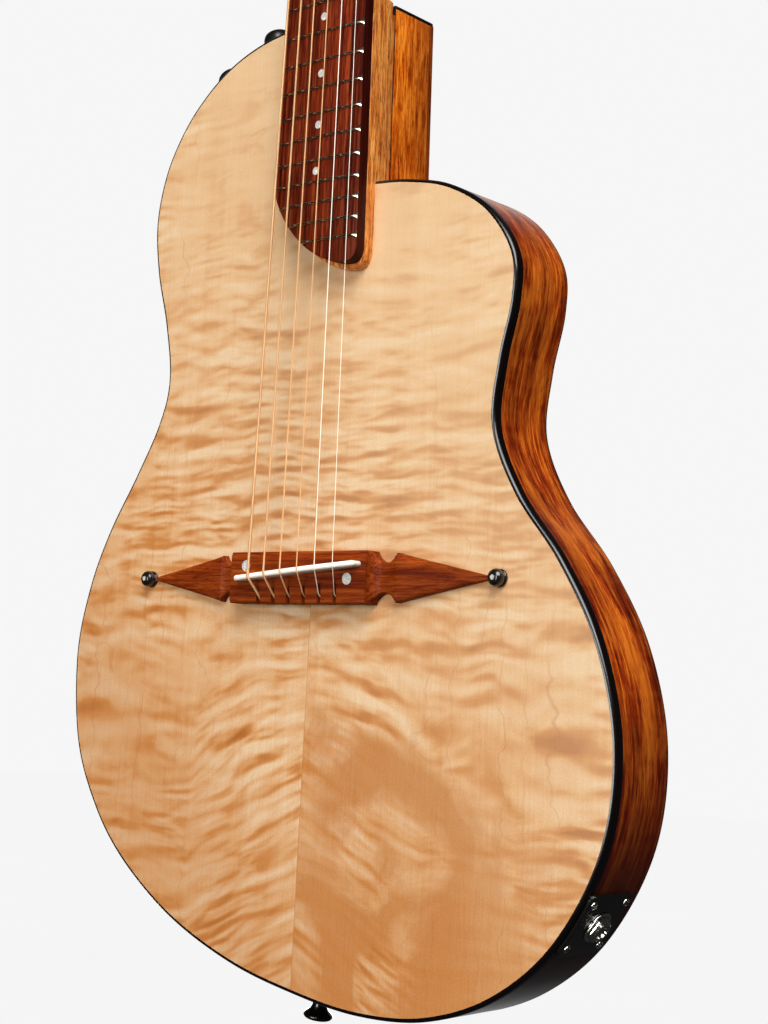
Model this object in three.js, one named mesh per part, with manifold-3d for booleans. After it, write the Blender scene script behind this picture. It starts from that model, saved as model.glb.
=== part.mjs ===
// Single-cutaway thin-body steel-string guitar with a slanted saddle and a preamp.
// It is modelled lying in plan: x across the strings (treble side +), y along the neck from the
// saddle line, z out of the soundboard. The last group stands it up: +Z along the neck with the
// nut line at Z = 0, and the soundboard facing -Y. Millimetres.

import * as THREE from "three";
import { mergeVertices } from "three/addons/utils/BufferGeometryUtils.js";
import Module from "manifold-3d";

const wasm = await Module();
wasm.setup();

// ---------- driving dimensions ----------
const GAP = 0.3; // clearance between touching pieces
const SCALE_LENGTH = 650; // nut to the nominal saddle line

const BODY_DEPTH = 42.5;
const PLATE_T = 3; // soundboard and back
const SIDE_T = 2.5;
const BINDING_W = 2;
const TOP_BINDING_H = 5;
const BACK_BINDING_H = 3;
const LINING_H = 8;
const LINING_W = 6.2;

const NUT_HALF = 21.8; // half width of the fretboard at the nut
const BOARD_TAPER = 0.01439; // growth of that half width for each mm away from the nut
const BOARD_BOTTOM = 6.3; // height of the fretboard's underside over the soundboard
const BOARD_T = 7.2;
const BOARD_RADIUS = 406; // camber of the playing surface
const HEEL_BOTTOM = -11.3; // underside of the neck where it meets its block
const BODY_END = 288; // end of the body under the neck
const CUTAWAY_Y = 193.2; // where the cutaway meets the neck

const NUT_T = 4.9;
const NUT_TOP = 14.5;
const SADDLE_TOP = 17.6;
const SADDLE_Y = -2.4; // where the slanted saddle crosses the centre line
const SADDLE_SLOPE = 0.09;
const SADDLE_T = 2.6;
const SADDLE_HALF = 39.5;
const NUT_SPREAD = 37; // first to sixth string
const SADDLE_SPREAD = 55;
const ANCHOR_SPREAD = 50.4; // where the strings go down into the bridge
const ANCHOR_X = -1.4; // middle of that row
const STRING_RADII = [0.15, 0.21, 0.31, 0.41, 0.53, 0.67]; // string 1 to string 6

const TONGUE_LIP = 2.2; // the neck shows this far past the end of its fretboard

const PIN_X = 114.2;
const PIN_SHANK_R = 2.5;

const BRIDGE_Y = -5.2;
const BRIDGE_TOP = 10;
const BRIDGE_BASE = 0.3;
const BRIDGE_HALF = 12.7;
const NOTCH_NECK = 7.3; // half width left between the notches
const TREBLE_END = { end: 42.7, notch: { x: 50, r: 7.9, reach: 7.3 } };
const BASS_END = { end: 46.3, notch: { x: 52.3, r: 6.3, reach: 6 } };

const HEAD_ANGLE = 13; // degrees, the headstock's tilt
const HEAD_Y = SCALE_LENGTH + 5.5;
const HEAD_FACE_T = 1.5;
const HEAD_WOOD_T = 13.7;
const POST_X = [21, 21.5, 22]; // from the far pair of tuners to the near pair
const POST_Y = [116, 76, 36];
const POST_R = 3;
const WORM_Y = 8.2; // the worm's axis lies this far up the headstock from its post

const COLORS = {
  maple: 0xe3b57c,
  mahogany: 0xa8581c,
  rosewood: 0x5a2415,
  ebony: 0x17120f,
  black: 0x0d0c0c,
  bone: 0xefe8d8,
  spruce: 0xd9bd8c,
  bronze: 0xc98a5c,
  steel: 0xc9c9c6,
  nickel: 0xb9b9b7,
  circuit: 0x1d4a2a,
};

// ---------- solids ----------
function toSolid(geometry) {
  const bare = geometry.clone();
  bare.deleteAttribute("normal");
  bare.deleteAttribute("uv");
  const merged = mergeVertices(bare, 1e-4);
  const mesh = new wasm.Mesh({
    numProp: 3,
    vertProperties: new Float32Array(merged.attributes.position.array),
    triVerts: new Uint32Array(merged.index.array),
  });
  return new wasm.Manifold(mesh);
}

function toGeometry(solid) {
  const mesh = solid.getMesh();
  const geometry = new THREE.BufferGeometry();
  geometry.setAttribute("position", new THREE.BufferAttribute(new Float32Array(mesh.vertProperties), 3));
  geometry.setIndex(new THREE.BufferAttribute(new Uint32Array(mesh.triVerts), 1));
  geometry.computeVertexNormals();
  return geometry;
}

function cut(geometry, ...tools) {
  return toGeometry(tools.reduce((solid, tool) => solid.subtract(toSolid(tool)), toSolid(geometry)));
}

function join(geometry, ...others) {
  return toGeometry(others.reduce((solid, other) => solid.add(toSolid(other)), toSolid(geometry)));
}

function common(geometry, other) {
  return toGeometry(toSolid(geometry).intersect(toSolid(other)));
}

// A plan outline raised from z0 to z1; points that repeat are dropped.
function prism(points, z0, z1) {
  const outline = points.filter((p, i) => p.distanceTo(points[(i + 1) % points.length]) > 0.02);
  const shape = new THREE.Shape(outline);
  const geometry = new THREE.ExtrudeGeometry(shape, { depth: z1 - z0, bevelEnabled: false });
  return geometry.translate(0, 0, z0);
}

function box(x0, x1, y0, y1, z0, z1) {
  const geometry = new THREE.BoxGeometry(x1 - x0, y1 - y0, z1 - z0);
  return geometry.translate((x0 + x1) / 2, (y0 + y1) / 2, (z0 + z1) / 2);
}

// A turned solid about +z. The profile runs [radius, z] from the axis back to the axis.
function turned(profile, segments) {
  const points = profile.map(([r, z]) => new THREE.Vector2(r, z));
  return new THREE.LatheGeometry(points, segments).rotateX(Math.PI / 2);
}

function rod(radius, z0, z1, segments = 24) {
  return new THREE.CylinderGeometry(radius, radius, z1 - z0, segments)
    .rotateX(Math.PI / 2)
    .translate(0, 0, (z0 + z1) / 2);
}

// A closed skin over a row of rings that all have the same number of points.
function loft(rings) {
  const n = rings[0].length;
  const positions = [];
  const index = [];
  rings.forEach((ring) => ring.forEach((p) => positions.push(p.x, p.y, p.z)));
  for (let i = 0; i + 1 < rings.length; i += 1) {
    for (let j = 0; j < n; j += 1) {
      const a = i * n + j;
      const b = i * n + ((j + 1) % n);
      index.push(a, b, a + n, b, b + n, a + n);
    }
  }
  const last = (rings.length - 1) * n;
  for (let j = 1; j + 1 < n; j += 1) {
    index.push(0, j + 1, j);
    index.push(last, last + j, last + j + 1);
  }
  const geometry = new THREE.BufferGeometry();
  geometry.setAttribute("position", new THREE.Float32BufferAttribute(positions, 3));
  geometry.setIndex(index);
  geometry.computeVertexNormals();
  return geometry;
}

// ---------- plan curves ----------
const v2 = (x, y) => new THREE.Vector2(x, y);

// Moves an open path sideways, to the right of its direction for a positive distance.
function beside(path, distance) {
  return path.map((p, i) => {
    const before = path[Math.max(i - 1, 0)];
    const after = path[Math.min(i + 1, path.length - 1)];
    const d0 = (i === 0 ? after.clone().sub(p) : p.clone().sub(before)).normalize();
    const d1 = (i === path.length - 1 ? p.clone().sub(before) : after.clone().sub(p)).normalize();
    const n = v2(d0.y + d1.y, -d0.x - d1.x).normalize();
    return p.clone().addScaledVector(n, distance / n.dot(v2(d0.y, -d0.x)));
  });
}

// The band between two offsets of a path, both measured into the body.
const band = (path, outer, inner) => [...beside(path, outer), ...beside(path, inner).reverse()];

const halfBoard = (y) => NUT_HALF + BOARD_TAPER * (SCALE_LENGTH - y);

// Body outline, anticlockwise from the bass side of the neck round the tail to the cutaway.
const OUTLINE = [
  [-29, 288], [-57.5, 282.9], [-81.1, 273.5], [-100, 259.6], [-115, 242.5], [-126.7, 219.7],
  [-131.6, 192.1], [-127.6, 163], [-118.6, 133.2], [-113.1, 102.9], [-118.3, 79.5], [-133.2, 51.9],
  [-152.1, 21.2], [-165.2, -9.5], [-171.9, -46], [-166, -91.4], [-148.1, -125.1], [-123.5, -150.8],
  [-86.1, -174.7], [-42.2, -191.3], [0, -199.9], [40, -204.1], [80, -200.8], [117.5, -186.6],
  [149.5, -160.1], [172.2, -120.1], [177.5, -76], [167.5, -33.1], [147, 3.1], [122.5, 33.7],
  [108.4, 64.5], [110.7, 95], [117, 123.6], [115.8, 146.7], [99.8, 169.8], [75.1, 184.8],
  [49.7, 191.1], [halfBoard(CUTAWAY_Y) + GAP, CUTAWAY_Y],
];
const bodyCurve = new THREE.SplineCurve(OUTLINE.map(([x, y]) => v2(x, y)));
const bodyPath = bodyCurve.getPoints(2 * (OUTLINE.length - 1));
const finePath = bodyCurve.getPoints(10 * (OUTLINE.length - 1));
const liningPath = bodyPath.slice(2, -3);
const tailIndex = bodyPath.findIndex((p) => p.y < -190 && p.x >= 20);
const bassPath = bodyPath.slice(0, tailIndex + 1);
const treblePath = bodyPath.slice(tailIndex);
treblePath[0] = treblePath[0].clone().lerp(treblePath[1], 0.05);

// The place on the outline nearest a point, with the outward direction there.
function onOutline(x, y) {
  const target = v2(x, y);
  let best = 0;
  finePath.forEach((p, i) => {
    if (p.distanceTo(target) < finePath[best].distanceTo(target)) best = i;
  });
  const tangent = finePath[best + 1].clone().sub(finePath[best - 1]).normalize();
  return { index: best, point: finePath[best], angle: Math.atan2(-tangent.x, tangent.y) };
}

// Turns a solid made about +z so that it points out of the side at a place on the outline.
function outOfSide(geometry, place, z) {
  return geometry
    .rotateY(Math.PI / 2)
    .rotateZ(place.angle)
    .translate(place.point.x, place.point.y, z);
}

// The playing end of the fretboard: a sweep across from the bass edge to a small treble corner.
function boardEnd(down, out = 0) {
  const bass = halfBoard(190) + out;
  const treble = halfBoard(158) + out;
  const sweep = new THREE.CubicBezierCurve(
    v2(-bass, 190 - down), v2(-22, 172 - down), v2(0, 150.5 - down), v2(21, 149.6 - down));
  const corner = new THREE.QuadraticBezierCurve(
    v2(21, 149.6 - down), v2(treble, 149.4 - down), v2(treble, 158));
  return [...sweep.getPoints(11), ...corner.getPoints(4).slice(1)];
}

// Outline of the neck over the body: the board's end, then straight up to y.
function tongueOutline(down, y, out = 0) {
  const side = halfBoard(y) + out;
  return [...boardEnd(down, out), v2(side, y), v2(-side, y)];
}

// ---------- materials and nodes ----------
const finish = (color, roughness, metalness = 0) =>
  new THREE.MeshStandardMaterial({ color, roughness, metalness });

const MATERIALS = {
  maple: finish(COLORS.maple, 0.25),
  mahogany: finish(COLORS.mahogany, 0.25),
  rosewood: finish(COLORS.rosewood, 0.45),
  ebony: finish(COLORS.ebony, 0.35),
  black: finish(COLORS.black, 0.2),
  bone: finish(COLORS.bone, 0.4),
  spruce: finish(COLORS.spruce, 0.7),
  bronze: finish(COLORS.bronze, 0.35, 1),
  steel: finish(COLORS.steel, 0.25, 1),
  nickel: finish(COLORS.nickel, 0.2, 1),
  circuit: finish(COLORS.circuit, 0.6),
};

const body = new THREE.Group();
const headstock = new THREE.Group();

function node(name, material, geometry, parent = body) {
  const mesh = new THREE.Mesh(geometry, MATERIALS[material]);
  mesh.name = name;
  parent.add(mesh);
  return mesh;
}

// ---------- body ----------
const SIDE_TOP = -(TOP_BINDING_H + GAP);
const SIDE_BOTTOM = -(BODY_DEPTH - BACK_BINDING_H - GAP);
const INSIDE_TOP = -(PLATE_T + GAP);
const INSIDE_BOTTOM = -(BODY_DEPTH - PLATE_T - GAP);
const BLOCK_TOP = HEEL_BOTTOM - GAP;
const BLOCK_FRONT = 168; // the neck block's end inside the body
const BLOCK_BASS = -28.4;

// The plates' outline: inside the binding, closed along the treble side of the neck.
function plateOutline(inset) {
  const edge = beside(bodyPath, -inset).slice(0, -1);
  const side = halfBoard(CUTAWAY_Y) + GAP;
  return [...edge, v2(side, CUTAWAY_Y - inset), v2(side, CUTAWAY_Y - 20), v2(BLOCK_BASS, CUTAWAY_Y - 20)];
}

function makeSoundboard() {
  const plate = prism(plateOutline(BINDING_W + GAP), -PLATE_T, 0);
  const notch = prism(tongueOutline(TONGUE_LIP + GAP, BODY_END + 10, GAP), -PLATE_T - 1, 1);
  const pinHoles = [-1, 1].map((side) =>
    rod(PIN_SHANK_R + GAP, -PLATE_T - 1, 1, 14).translate(side * PIN_X, BRIDGE_Y, 0));
  return cut(plate, notch, ...pinHoles);
}

const COVER = { x: -62, y: 150, halfX: 30, halfY: 45 };
const COVER_T = 1.5;
const BATTERY = { x: 26.5, y: 48.5, z: 17.5 };

function roundedRectangle(x, y, halfX, halfY, r) {
  const shape = new THREE.Shape();
  shape.moveTo(x - halfX + r, y - halfY);
  shape.lineTo(x + halfX - r, y - halfY);
  shape.absarc(x + halfX - r, y - halfY + r, r, -Math.PI / 2, 0);
  shape.lineTo(x + halfX, y + halfY - r);
  shape.absarc(x + halfX - r, y + halfY - r, r, 0, Math.PI / 2);
  shape.lineTo(x - halfX + r, y + halfY);
  shape.absarc(x - halfX + r, y + halfY - r, r, Math.PI / 2, Math.PI);
  shape.lineTo(x - halfX, y - halfY + r);
  shape.absarc(x - halfX + r, y - halfY + r, r, Math.PI, Math.PI * 1.5);
  return shape.getPoints(3);
}

function makeBack() {
  const bottom = -BODY_DEPTH;
  const edge = beside(bodyPath, -(BINDING_W + GAP)).slice(0, -1);
  const end = halfBoard(BODY_END);
  const underNeck = [v2(halfBoard(CUTAWAY_Y), CUTAWAY_Y - 2.5), v2(end, BODY_END), v2(-end, BODY_END),
    v2(-end, BODY_END - 4)];
  const plate = prism([...edge, ...underNeck], bottom, bottom + PLATE_T);
  const { x, y, halfX, halfY } = COVER;
  const rebate = prism(roundedRectangle(x, y, halfX + GAP, halfY + GAP, 8), bottom - 1, bottom + 1.8);
  const access = prism(roundedRectangle(x, y, halfX - 5, halfY - 5, 5), bottom - 1, bottom + PLATE_T + 1);
  return cut(plate, rebate, access);
}

const KNOBS = [
  { name: "volume", place: onOutline(-59, 283) },
  { name: "tone", place: onOutline(-91, 267) },
];
const KNOB_Z = -17.5;
const KNOB_R = 8.5;
const KNOB_END = 15.5; // how far a knob's top stands off the side
const SHAFT_R = 3;
const BUSHING_R = 4.2;

const JACK = { place: onOutline(157, -150.2), z: -18.7, barrelR: 5.2, boreR: 3.3 };
const STRAP = { place: onOutline(1, -200), z: -22.5, screwR: 2.4 };

function sideWithHoles(path, holes) {
  const strip = prism(band(path, 0, -SIDE_T), SIDE_BOTTOM, SIDE_TOP);
  return cut(strip, ...holes.map(({ place, z, r }) => outOfSide(rod(r + GAP, -8, 8, 16), place, z)));
}

function makeShell() {
  node("top_plate", "maple", makeSoundboard());
  node("back_plate", "mahogany", makeBack());
  const bassHoles = KNOBS.map(({ place }) => ({ place, z: KNOB_Z, r: BUSHING_R }));
  bassHoles.push({ place: STRAP.place, z: STRAP.z, r: STRAP.screwR });
  node("bass_side", "mahogany", sideWithHoles(bassPath, bassHoles));
  const jackHole = { place: JACK.place, z: JACK.z, r: JACK.barrelR };
  node("treble_side", "mahogany", sideWithHoles(treblePath, [jackHole]));
  const edging = band(bodyPath, 0, -BINDING_W);
  node("top_binding", "black", prism(edging, -TOP_BINDING_H, 0));
  node("back_binding", "black", prism(edging, -BODY_DEPTH, -BODY_DEPTH + BACK_BINDING_H));
  const lining = band(liningPath, -(SIDE_T + GAP), -(SIDE_T + GAP + LINING_W));
  node("top_lining", "mahogany", prism(lining, INSIDE_TOP - LINING_H, INSIDE_TOP));
  node("back_lining", "mahogany", prism(lining, INSIDE_BOTTOM, INSIDE_BOTTOM + LINING_H));
  const { x, y, halfX, halfY } = COVER;
  node("electronics_cover", "black",
    prism(roundedRectangle(x, y, halfX, halfY, 7.7), -BODY_DEPTH, -BODY_DEPTH + COVER_T));
}

function makeBlocks() {
  // The neck block's treble face shows beside the cutaway, in line with the neck.
  const inner = halfBoard(CUTAWAY_Y) - 1;
  const block = prism([v2(BLOCK_BASS, BLOCK_FRONT), v2(inner, BLOCK_FRONT), v2(inner, CUTAWAY_Y - 12),
    v2(halfBoard(CUTAWAY_Y) - 0.2, CUTAWAY_Y - 12), v2(halfBoard(CUTAWAY_Y) - 0.2, CUTAWAY_Y),
    v2(halfBoard(BODY_END), BODY_END), v2(BLOCK_BASS, BODY_END)], INSIDE_BOTTOM, BLOCK_TOP);
  node("neck_block", "mahogany", block);
  node("heel_cap", "ebony", box(-halfBoard(290), halfBoard(290), BODY_END + GAP, BODY_END + 2.3,
    -BODY_DEPTH, BLOCK_TOP));
  const tail = bodyPath.slice(tailIndex - 4, tailIndex + 3);
  const inset = SIDE_T + LINING_W + 2 * GAP;
  const tailBlock = prism(band(tail, -inset - 1, -inset - 16), INSIDE_BOTTOM, INSIDE_TOP);
  const pilot = outOfSide(rod(STRAP.screwR + GAP, -40, 0, 12), STRAP.place, STRAP.z);
  node("tail_block", "mahogany", cut(tailBlock, pilot));
}

function makeBracing() {
  const braceTop = INSIDE_TOP;
  node("top_brace_waist", "spruce", box(-96, 94, 66, 74, braceTop - 12, braceTop));
  node("top_brace_lower", "spruce", box(-150, 160, -86, -78, braceTop - 12, braceTop));
  node("back_brace", "spruce", box(-146, 150, -34, -26, INSIDE_BOTTOM, INSIDE_BOTTOM + 12));
  node("bridge_plate", "maple", box(-64, 64, BRIDGE_Y - 22, BRIDGE_Y + 24, braceTop - 2.5, braceTop));
}

// ---------- neck ----------
// Half an oval under a flat top; a high power makes it nearly square.
function neckRing(y, depth, power) {
  const half = halfBoard(y);
  const top = BOARD_BOTTOM - GAP;
  const ring = [];
  const steps = 12;
  for (let i = 0; i <= steps; i += 1) {
    const t = (Math.PI * i) / steps;
    const x = Math.sign(Math.cos(t)) * Math.abs(Math.cos(t)) ** (2 / power);
    ring.push(new THREE.Vector3(half * x, y, top - depth * Math.sin(t) ** (2 / power)));
  }
  return ring;
}

function headOutline(start, shrink = 0) {
  const shape = new THREE.Shape();
  shape.moveTo(-NUT_HALF + shrink, start);
  shape.lineTo(NUT_HALF - shrink, start);
  shape.lineTo(NUT_HALF - shrink, Math.max(start, 1));
  shape.bezierCurveTo(23 - shrink, 10, 34.5 - shrink, 12, 36 - shrink, 24);
  shape.lineTo(32 - shrink, 146);
  shape.bezierCurveTo(31 - shrink, 153, 22, 153.5, 16, 155.5 - shrink);
  shape.quadraticCurveTo(0, 161 - shrink, -16, 155.5 - shrink);
  shape.bezierCurveTo(-22, 153.5, -31 + shrink, 153, -32 + shrink, 146);
  shape.lineTo(-36 + shrink, 24);
  shape.bezierCurveTo(-34.5 + shrink, 12, -23 + shrink, 10, -NUT_HALF + shrink, Math.max(start, 1));
  return shape.getPoints(4);
}

const TUNERS = [1, 2, 3, 4, 5, 6].map((number) => {
  const side = number <= 3 ? 1 : -1;
  const row = number <= 3 ? 3 - number : number - 4;
  return { number, side, x: side * POST_X[row], y: POST_Y[row] };
});

const intoHead = (geometry) =>
  geometry.rotateX((-HEAD_ANGLE * Math.PI) / 180).translate(0, HEAD_Y, BOARD_BOTTOM);

const HEAD_WOOD_TOP = -(HEAD_FACE_T + GAP);
const HEAD_BACK = HEAD_WOOD_TOP - HEAD_WOOD_T;
const SLEEVE_R = 4.8;

function makeNeck() {
  const stations = [
    [BODY_END - 8, 17.3, 14], [BODY_END + 2.4, 17.3, 14], [BODY_END + 4, 17.2, 5], [BODY_END + 8, 17, 3],
    [BODY_END + 18, 16.6, 2.4], [430, 15.6, 2.2], [600, 14.4, 2.2], [640, 14, 2.2], [HEAD_Y, 14.4, 2.6],
  ];
  const shaft = loft(stations.map(([y, depth, power]) => neckRing(y, depth, power)));
  const tongue = prism(tongueOutline(TONGUE_LIP, BODY_END - 4), HEEL_BOTTOM, BOARD_BOTTOM - GAP);
  const head = intoHead(prism(headOutline(-6), HEAD_BACK, HEAD_WOOD_TOP));
  const channel = box(-3.3, 3.3, 170, HEAD_Y + 12, -4.3, BOARD_BOTTOM);
  const holes = TUNERS.map(({ x, y }) =>
    intoHead(rod(SLEEVE_R + GAP, HEAD_BACK - 2, 2, 10).translate(x, y, 0)));
  node("neck", "mahogany", cut(join(shaft, tongue, head), channel, ...holes));
  node("truss_rod", "steel", box(-3, 3, 172, HEAD_Y + 9, -4, 2));
}

function makeFretboard() {
  const top = BOARD_BOTTOM + BOARD_T;
  const end = boardEnd(0);
  const atNut = [v2(NUT_HALF, SCALE_LENGTH), v2(-NUT_HALF, SCALE_LENGTH)];
  const plan = prism([...end, ...atNut], BOARD_BOTTOM, top + 1);
  const camber = new THREE.Shape();
  const reach = 34; // wider than the board
  camber.moveTo(-reach, BOARD_BOTTOM - 1);
  camber.lineTo(reach, BOARD_BOTTOM - 1);
  const steps = 12;
  for (let i = 0; i <= steps; i += 1) {
    const x = reach - (2 * reach * i) / steps;
    camber.lineTo(x, top - (x * x) / (2 * BOARD_RADIUS));
  }
  const bar = new THREE.ExtrudeGeometry(camber, { depth: 520, bevelEnabled: false })
    .rotateX(Math.PI / 2)
    .translate(0, SCALE_LENGTH + 10, 0);
  node("fretboard", "rosewood", common(plan, bar));
  const nut = new THREE.Shape([v2(0, BOARD_BOTTOM), v2(NUT_T, BOARD_BOTTOM), v2(NUT_T, NUT_TOP - 1.6),
    v2(NUT_T * 0.45, NUT_TOP), v2(0, NUT_TOP)]);
  const nutSolid = new THREE.ExtrudeGeometry(nut, { depth: 2 * NUT_HALF, bevelEnabled: false })
    .rotateX(Math.PI / 2)
    .rotateZ(Math.PI / 2)
    .translate(-NUT_HALF, SCALE_LENGTH + GAP, 0);
  node("nut", "bone", nutSolid);
}

function makeHeadFace() {
  const plate = prism(headOutline(0.8), -HEAD_FACE_T, 0);
  const holes = TUNERS.map(({ x, y }) => rod(SLEEVE_R + GAP, -5, 5, 10).translate(x, y, 0));
  node("head_veneer", "rosewood", cut(plate, box(-3.3, 3.3, -1, 13, -5, 5), ...holes), headstock);
  const cover = new THREE.Shape();
  cover.moveTo(-8, 4);
  cover.lineTo(8, 4);
  cover.quadraticCurveTo(8, 16, 4.5, 22);
  cover.quadraticCurveTo(0, 30, -4.5, 22);
  cover.quadraticCurveTo(-8, 16, -8, 4);
  node("truss_rod_cover", "black", prism(cover.getPoints(3), GAP, 2), headstock);
}

// ---------- bridge ----------
// One station of the bridge: a low rectangle with its two upper edges broken.
function bridgeRing(x, half, top) {
  const base = BRIDGE_BASE;
  const edge = Math.min(0.8, half * 0.4);
  return [[-half, base], [half, base], [half, top - edge], [half - edge, top], [-half + edge, top],
    [-half, top - edge]].map(([y, z]) => new THREE.Vector3(x, BRIDGE_Y + y, z));
}

// One half of the bridge as stations from the block's end to the wing's tip: a quarter-round cove
// falls from the block while a round notch on each long side narrows it.
function bridgeHalf({ end, notch }) {
  const cove = 5.8;
  const wing = { start: notch.x + notch.reach, half: 11.4, top: 5.2, tip: 109, tipHalf: 0.9, tipTop: 2.4 };
  const half = (x) => {
    const open = Math.sqrt(Math.max(notch.r ** 2 - (x - notch.x) ** 2, 0));
    return Math.min(BRIDGE_HALF, NOTCH_NECK + notch.r - open);
  };
  const stations = [{ x: end, half: half(end), top: BRIDGE_TOP }];
  for (let i = 1; i <= 4; i += 1) {
    const t = (Math.PI / 2) * (i / 4);
    const x = end + cove * (1 - Math.cos(t));
    stations.push({ x, half: half(x), top: BRIDGE_TOP - cove * Math.sin(t) });
  }
  const low = BRIDGE_TOP - cove;
  for (let i = 1; i <= 4; i += 1) {
    const x = end + cove + (wing.start - end - cove) * (i / 4);
    stations.push({ x, half: half(x), top: low + (wing.top - low) * (i / 4) ** 2 });
  }
  stations.push({ x: wing.start + 0.1, half: wing.half, top: wing.top });
  stations.push({ x: wing.tip, half: wing.tipHalf, top: wing.tipTop });
  return stations;
}

const STRINGS = STRING_RADII.map((radius, i) => {
  const across = 0.5 - i / 5;
  const saddleX = across * SADDLE_SPREAD;
  const anchorX = ANCHOR_X + across * ANCHOR_SPREAD;
  return { number: i + 1, radius, saddleX, anchorX, nutX: across * NUT_SPREAD };
});

const saddleAngle = Math.atan(SADDLE_SLOPE);

function makeBridge() {
  const treble = bridgeHalf(TREBLE_END);
  const bass = bridgeHalf(BASS_END).reverse().map(({ x, half, top }) => ({ x: -x, half, top }));
  const middle = [-BASS_END.end + 0.4, TREBLE_END.end - 0.4]
    .map((x) => ({ x, half: BRIDGE_HALF, top: BRIDGE_TOP }));
  const blank = loft([...bass, ...middle, ...treble].map(({ x, half, top }) => bridgeRing(x, half, top)));
  const slot = box(-SADDLE_HALF - GAP, SADDLE_HALF + GAP, -SADDLE_T / 2 - GAP, SADDLE_T / 2 + GAP, 3.5, 20)
    .rotateZ(saddleAngle)
    .translate(0, SADDLE_Y, 0);
  const stringSlots = STRINGS.map(({ saddleX, anchorX, radius }) => {
    const front = SADDLE_Y + SADDLE_SLOPE * saddleX - 7.3;
    return box(anchorX - radius - 0.8, anchorX + radius + 0.8, -25, front, 4.2, 20);
  });
  node("bridge", "rosewood", cut(blank, slot, ...stringSlots));

  const crown = new THREE.Shape();
  crown.moveTo(-SADDLE_HALF, 5.3);
  crown.lineTo(SADDLE_HALF, 5.3);
  const steps = 12;
  for (let i = 0; i <= steps; i += 1) {
    const x = SADDLE_HALF * (1 - (2 * i) / steps);
    const endDrop = Math.abs(i - steps / 2) === steps / 2 ? 0.8 : 0;
    crown.lineTo(x, SADDLE_TOP - endDrop - (x * x) / (2 * BOARD_RADIUS));
  }
  const saddle = new THREE.ExtrudeGeometry(crown, { depth: SADDLE_T, bevelEnabled: false })
    .rotateX(Math.PI / 2)
    .translate(0, SADDLE_T / 2, 0)
    .rotateZ(saddleAngle)
    .translate(0, SADDLE_Y, 0);
  node("saddle", "bone", saddle);
  const pickup = box(-SADDLE_HALF + 1, SADDLE_HALF - 1, -1.3, 1.3, 3.8, 5);
  node("saddle_pickup", "black", pickup.rotateZ(saddleAngle).translate(0, SADDLE_Y, 0));

  const pinProfile = [[0, -9], [PIN_SHANK_R, -9], [PIN_SHANK_R, GAP], [4.4, GAP], [3.7, 1.9], [4.5, 2.8],
    [4, 5.6], [0, 6.9]];
  [["bridge_pin_bass", -1], ["bridge_pin_treble", 1]].forEach(([name, side]) => {
    node(name, "ebony", turned(pinProfile, 14).translate(side * PIN_X, BRIDGE_Y, 0));
  });
}

// ---------- strings ----------
function tube(points, radius, sides = 6) {
  const rings = points.map((p, i) => {
    const before = points[Math.max(i - 1, 0)];
    const after = points[Math.min(i + 1, points.length - 1)];
    const along = after.clone().sub(before).normalize();
    const across = new THREE.Vector3(0, 0, 1).cross(along).normalize();
    const up = along.clone().cross(across);
    return Array.from({ length: sides }, (_, k) => {
      const t = (2 * Math.PI * (k + 0.5)) / sides;
      return p.clone()
        .addScaledVector(across, radius * Math.cos(t))
        .addScaledVector(up, radius * Math.sin(t));
    });
  });
  return loft(rings);
}

function headPoint(x, y, z) {
  const t = (-HEAD_ANGLE * Math.PI) / 180;
  return new THREE.Vector3(
    x, HEAD_Y + y * Math.cos(t) - z * Math.sin(t), BOARD_BOTTOM + y * Math.sin(t) + z * Math.cos(t));
}

function makeStrings() {
  STRINGS.forEach(({ number, radius, saddleX, anchorX, nutX }) => {
    const tuner = TUNERS[number - 1];
    const lift = GAP + radius;
    const drop = (x) => (x * x) / (2 * BOARD_RADIUS);
    const saddleY = SADDLE_Y + SADDLE_SLOPE * saddleX;
    const saddleZ = SADDLE_TOP - drop(saddleX) + lift;
    const points = [
      new THREE.Vector3(anchorX, -16.6, 6.2 + radius),
      new THREE.Vector3(anchorX, -13.4, BRIDGE_TOP + 0.5),
      new THREE.Vector3(saddleX, saddleY - 1.8, saddleZ - 0.3),
      new THREE.Vector3(saddleX, saddleY + 1.2, saddleZ + 0.1),
      new THREE.Vector3(nutX, SCALE_LENGTH + 0.4, NUT_TOP + lift),
      new THREE.Vector3(nutX, SCALE_LENGTH + NUT_T * 0.45 + GAP, NUT_TOP + lift),
      new THREE.Vector3(nutX, SCALE_LENGTH + NUT_T + 0.8, NUT_TOP - 1.6 + lift),
      headPoint(tuner.x - tuner.side * (POST_R + GAP + radius), tuner.y, 6.5),
    ];
    node(`string_${number}`, number <= 2 ? "steel" : "bronze", tube(points, radius));
  });
}

// ---------- tuners ----------
const WORM_Z = HEAD_BACK - 5;
const GEAR_R = 5.4;
const WORM_R = 2.4;

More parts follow.
